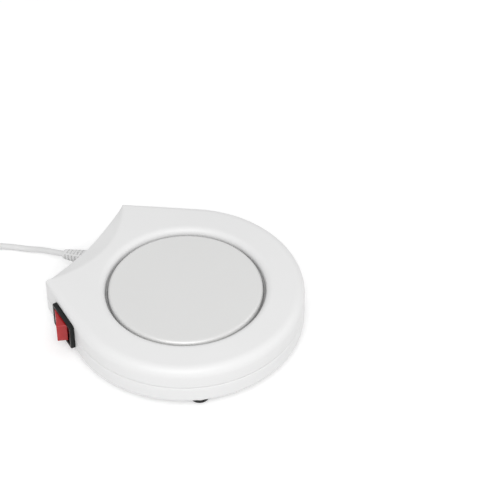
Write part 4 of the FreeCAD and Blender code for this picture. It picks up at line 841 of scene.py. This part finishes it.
SUNK, RAISED = -0.1, 0.05
BAR_AT, RING_AT = 3.4, -3.3
MARK_OUTER, MARK_INNER = 1.5, 0.95
bar = rounded_box(0.35, MARK_OUTER, 0.15, 32)
ring_turn = np.linspace(0, 2 * np.pi, 64, endpoint=False)
mark_parts = [("fan", np.array([on_rocker(on_key_face(BAR_AT + bar[:, 0], bar[:, 1], lift))
                                for lift in (SUNK, RAISED)]))]
mark_parts.append(("ring", np.array([
    on_rocker(on_key_face(RING_AT + size * np.cos(ring_turn), size * np.sin(ring_turn), lift))
    for size, lift in ((MARK_OUTER, SUNK), (MARK_OUTER, RAISED),
                       (MARK_INNER, RAISED), (MARK_INNER, SUNK))])))
mark_white = clouded("mark_white", (0.8, 0.8, 0.8), 0.5)
marks = mesh_of("rocker_marks", *gather(mark_parts), mark_white)
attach(marks, "rocker")


# Pieces inside the housing and the plug's blades keep their solids, each with the
# finish of what it is made of.
steel = clouded("zinc_steel", (0.55, 0.56, 0.58), 0.35, metallic=1.0, grain=1200.0, bump=0.08)
alu = clouded("bare_aluminium", (0.78, 0.78, 0.79), 0.38, metallic=1.0, grain=900.0, bump=0.06)
brass = clouded("brass", (0.72, 0.52, 0.22), 0.3, metallic=1.0, bump=0.05)
nickel = clouded("blade_nickel", (0.66, 0.65, 0.62), 0.28, metallic=1.0, bump=0.04,
                 stretch=(0.2, 1.0, 1.0))
mica = clouded("mica_sheet", (0.42, 0.34, 0.20), 0.45, mottle=0.25, cloud=260.0, bump=0.2)
ribbon = clouded("ribbon_metal", (0.34, 0.31, 0.29), 0.4, metallic=1.0)
sleeve = clouded("glass_sleeve", (0.72, 0.70, 0.62), 0.7, mottle=0.12, cloud=900.0, bump=0.4)
nylon = clouded("clamp_nylon", (0.70, 0.69, 0.64), 0.45)
white_lead = clouded("lead_white", (0.72, 0.72, 0.70), 0.45)
brown_lead = clouded("lead_brown", (0.13, 0.05, 0.025), 0.45)
inside = {
    "housing_screws": steel, "clamping_ring": steel, "ring_screws": steel, "mica_upper": mica,
    "heater_card": mica, "resistance_ribbon": ribbon, "mica_lower": mica, "clamp_disc": steel,
    "plate_studs": steel, "stud_nuts": steel, "shield_spacers": steel, "heat_shield": alu,
    "thermal_fuse": alu, "fuse_sleeve": sleeve, "fuse_strap": steel, "switch_plunger": nylon,
    "plunger_spring": steel, "contact_lever": brass, "switch_blades": brass,
    "blade_receptacles": brass, "heater_tails": sleeve, "fuse_leads": sleeve,
    "neutral_lead": white_lead, "live_lead": brown_lead, "switched_lead": brown_lead,
    "crimp_splices": steel, "cord_tail": sheath, "cord_clamp": nylon, "clamp_screws": steel,
    "plug_blades": nickel}
for name, finish in inside.items():
    nodes[name].data.materials.clear()
    nodes[name].data.materials.append(finish)
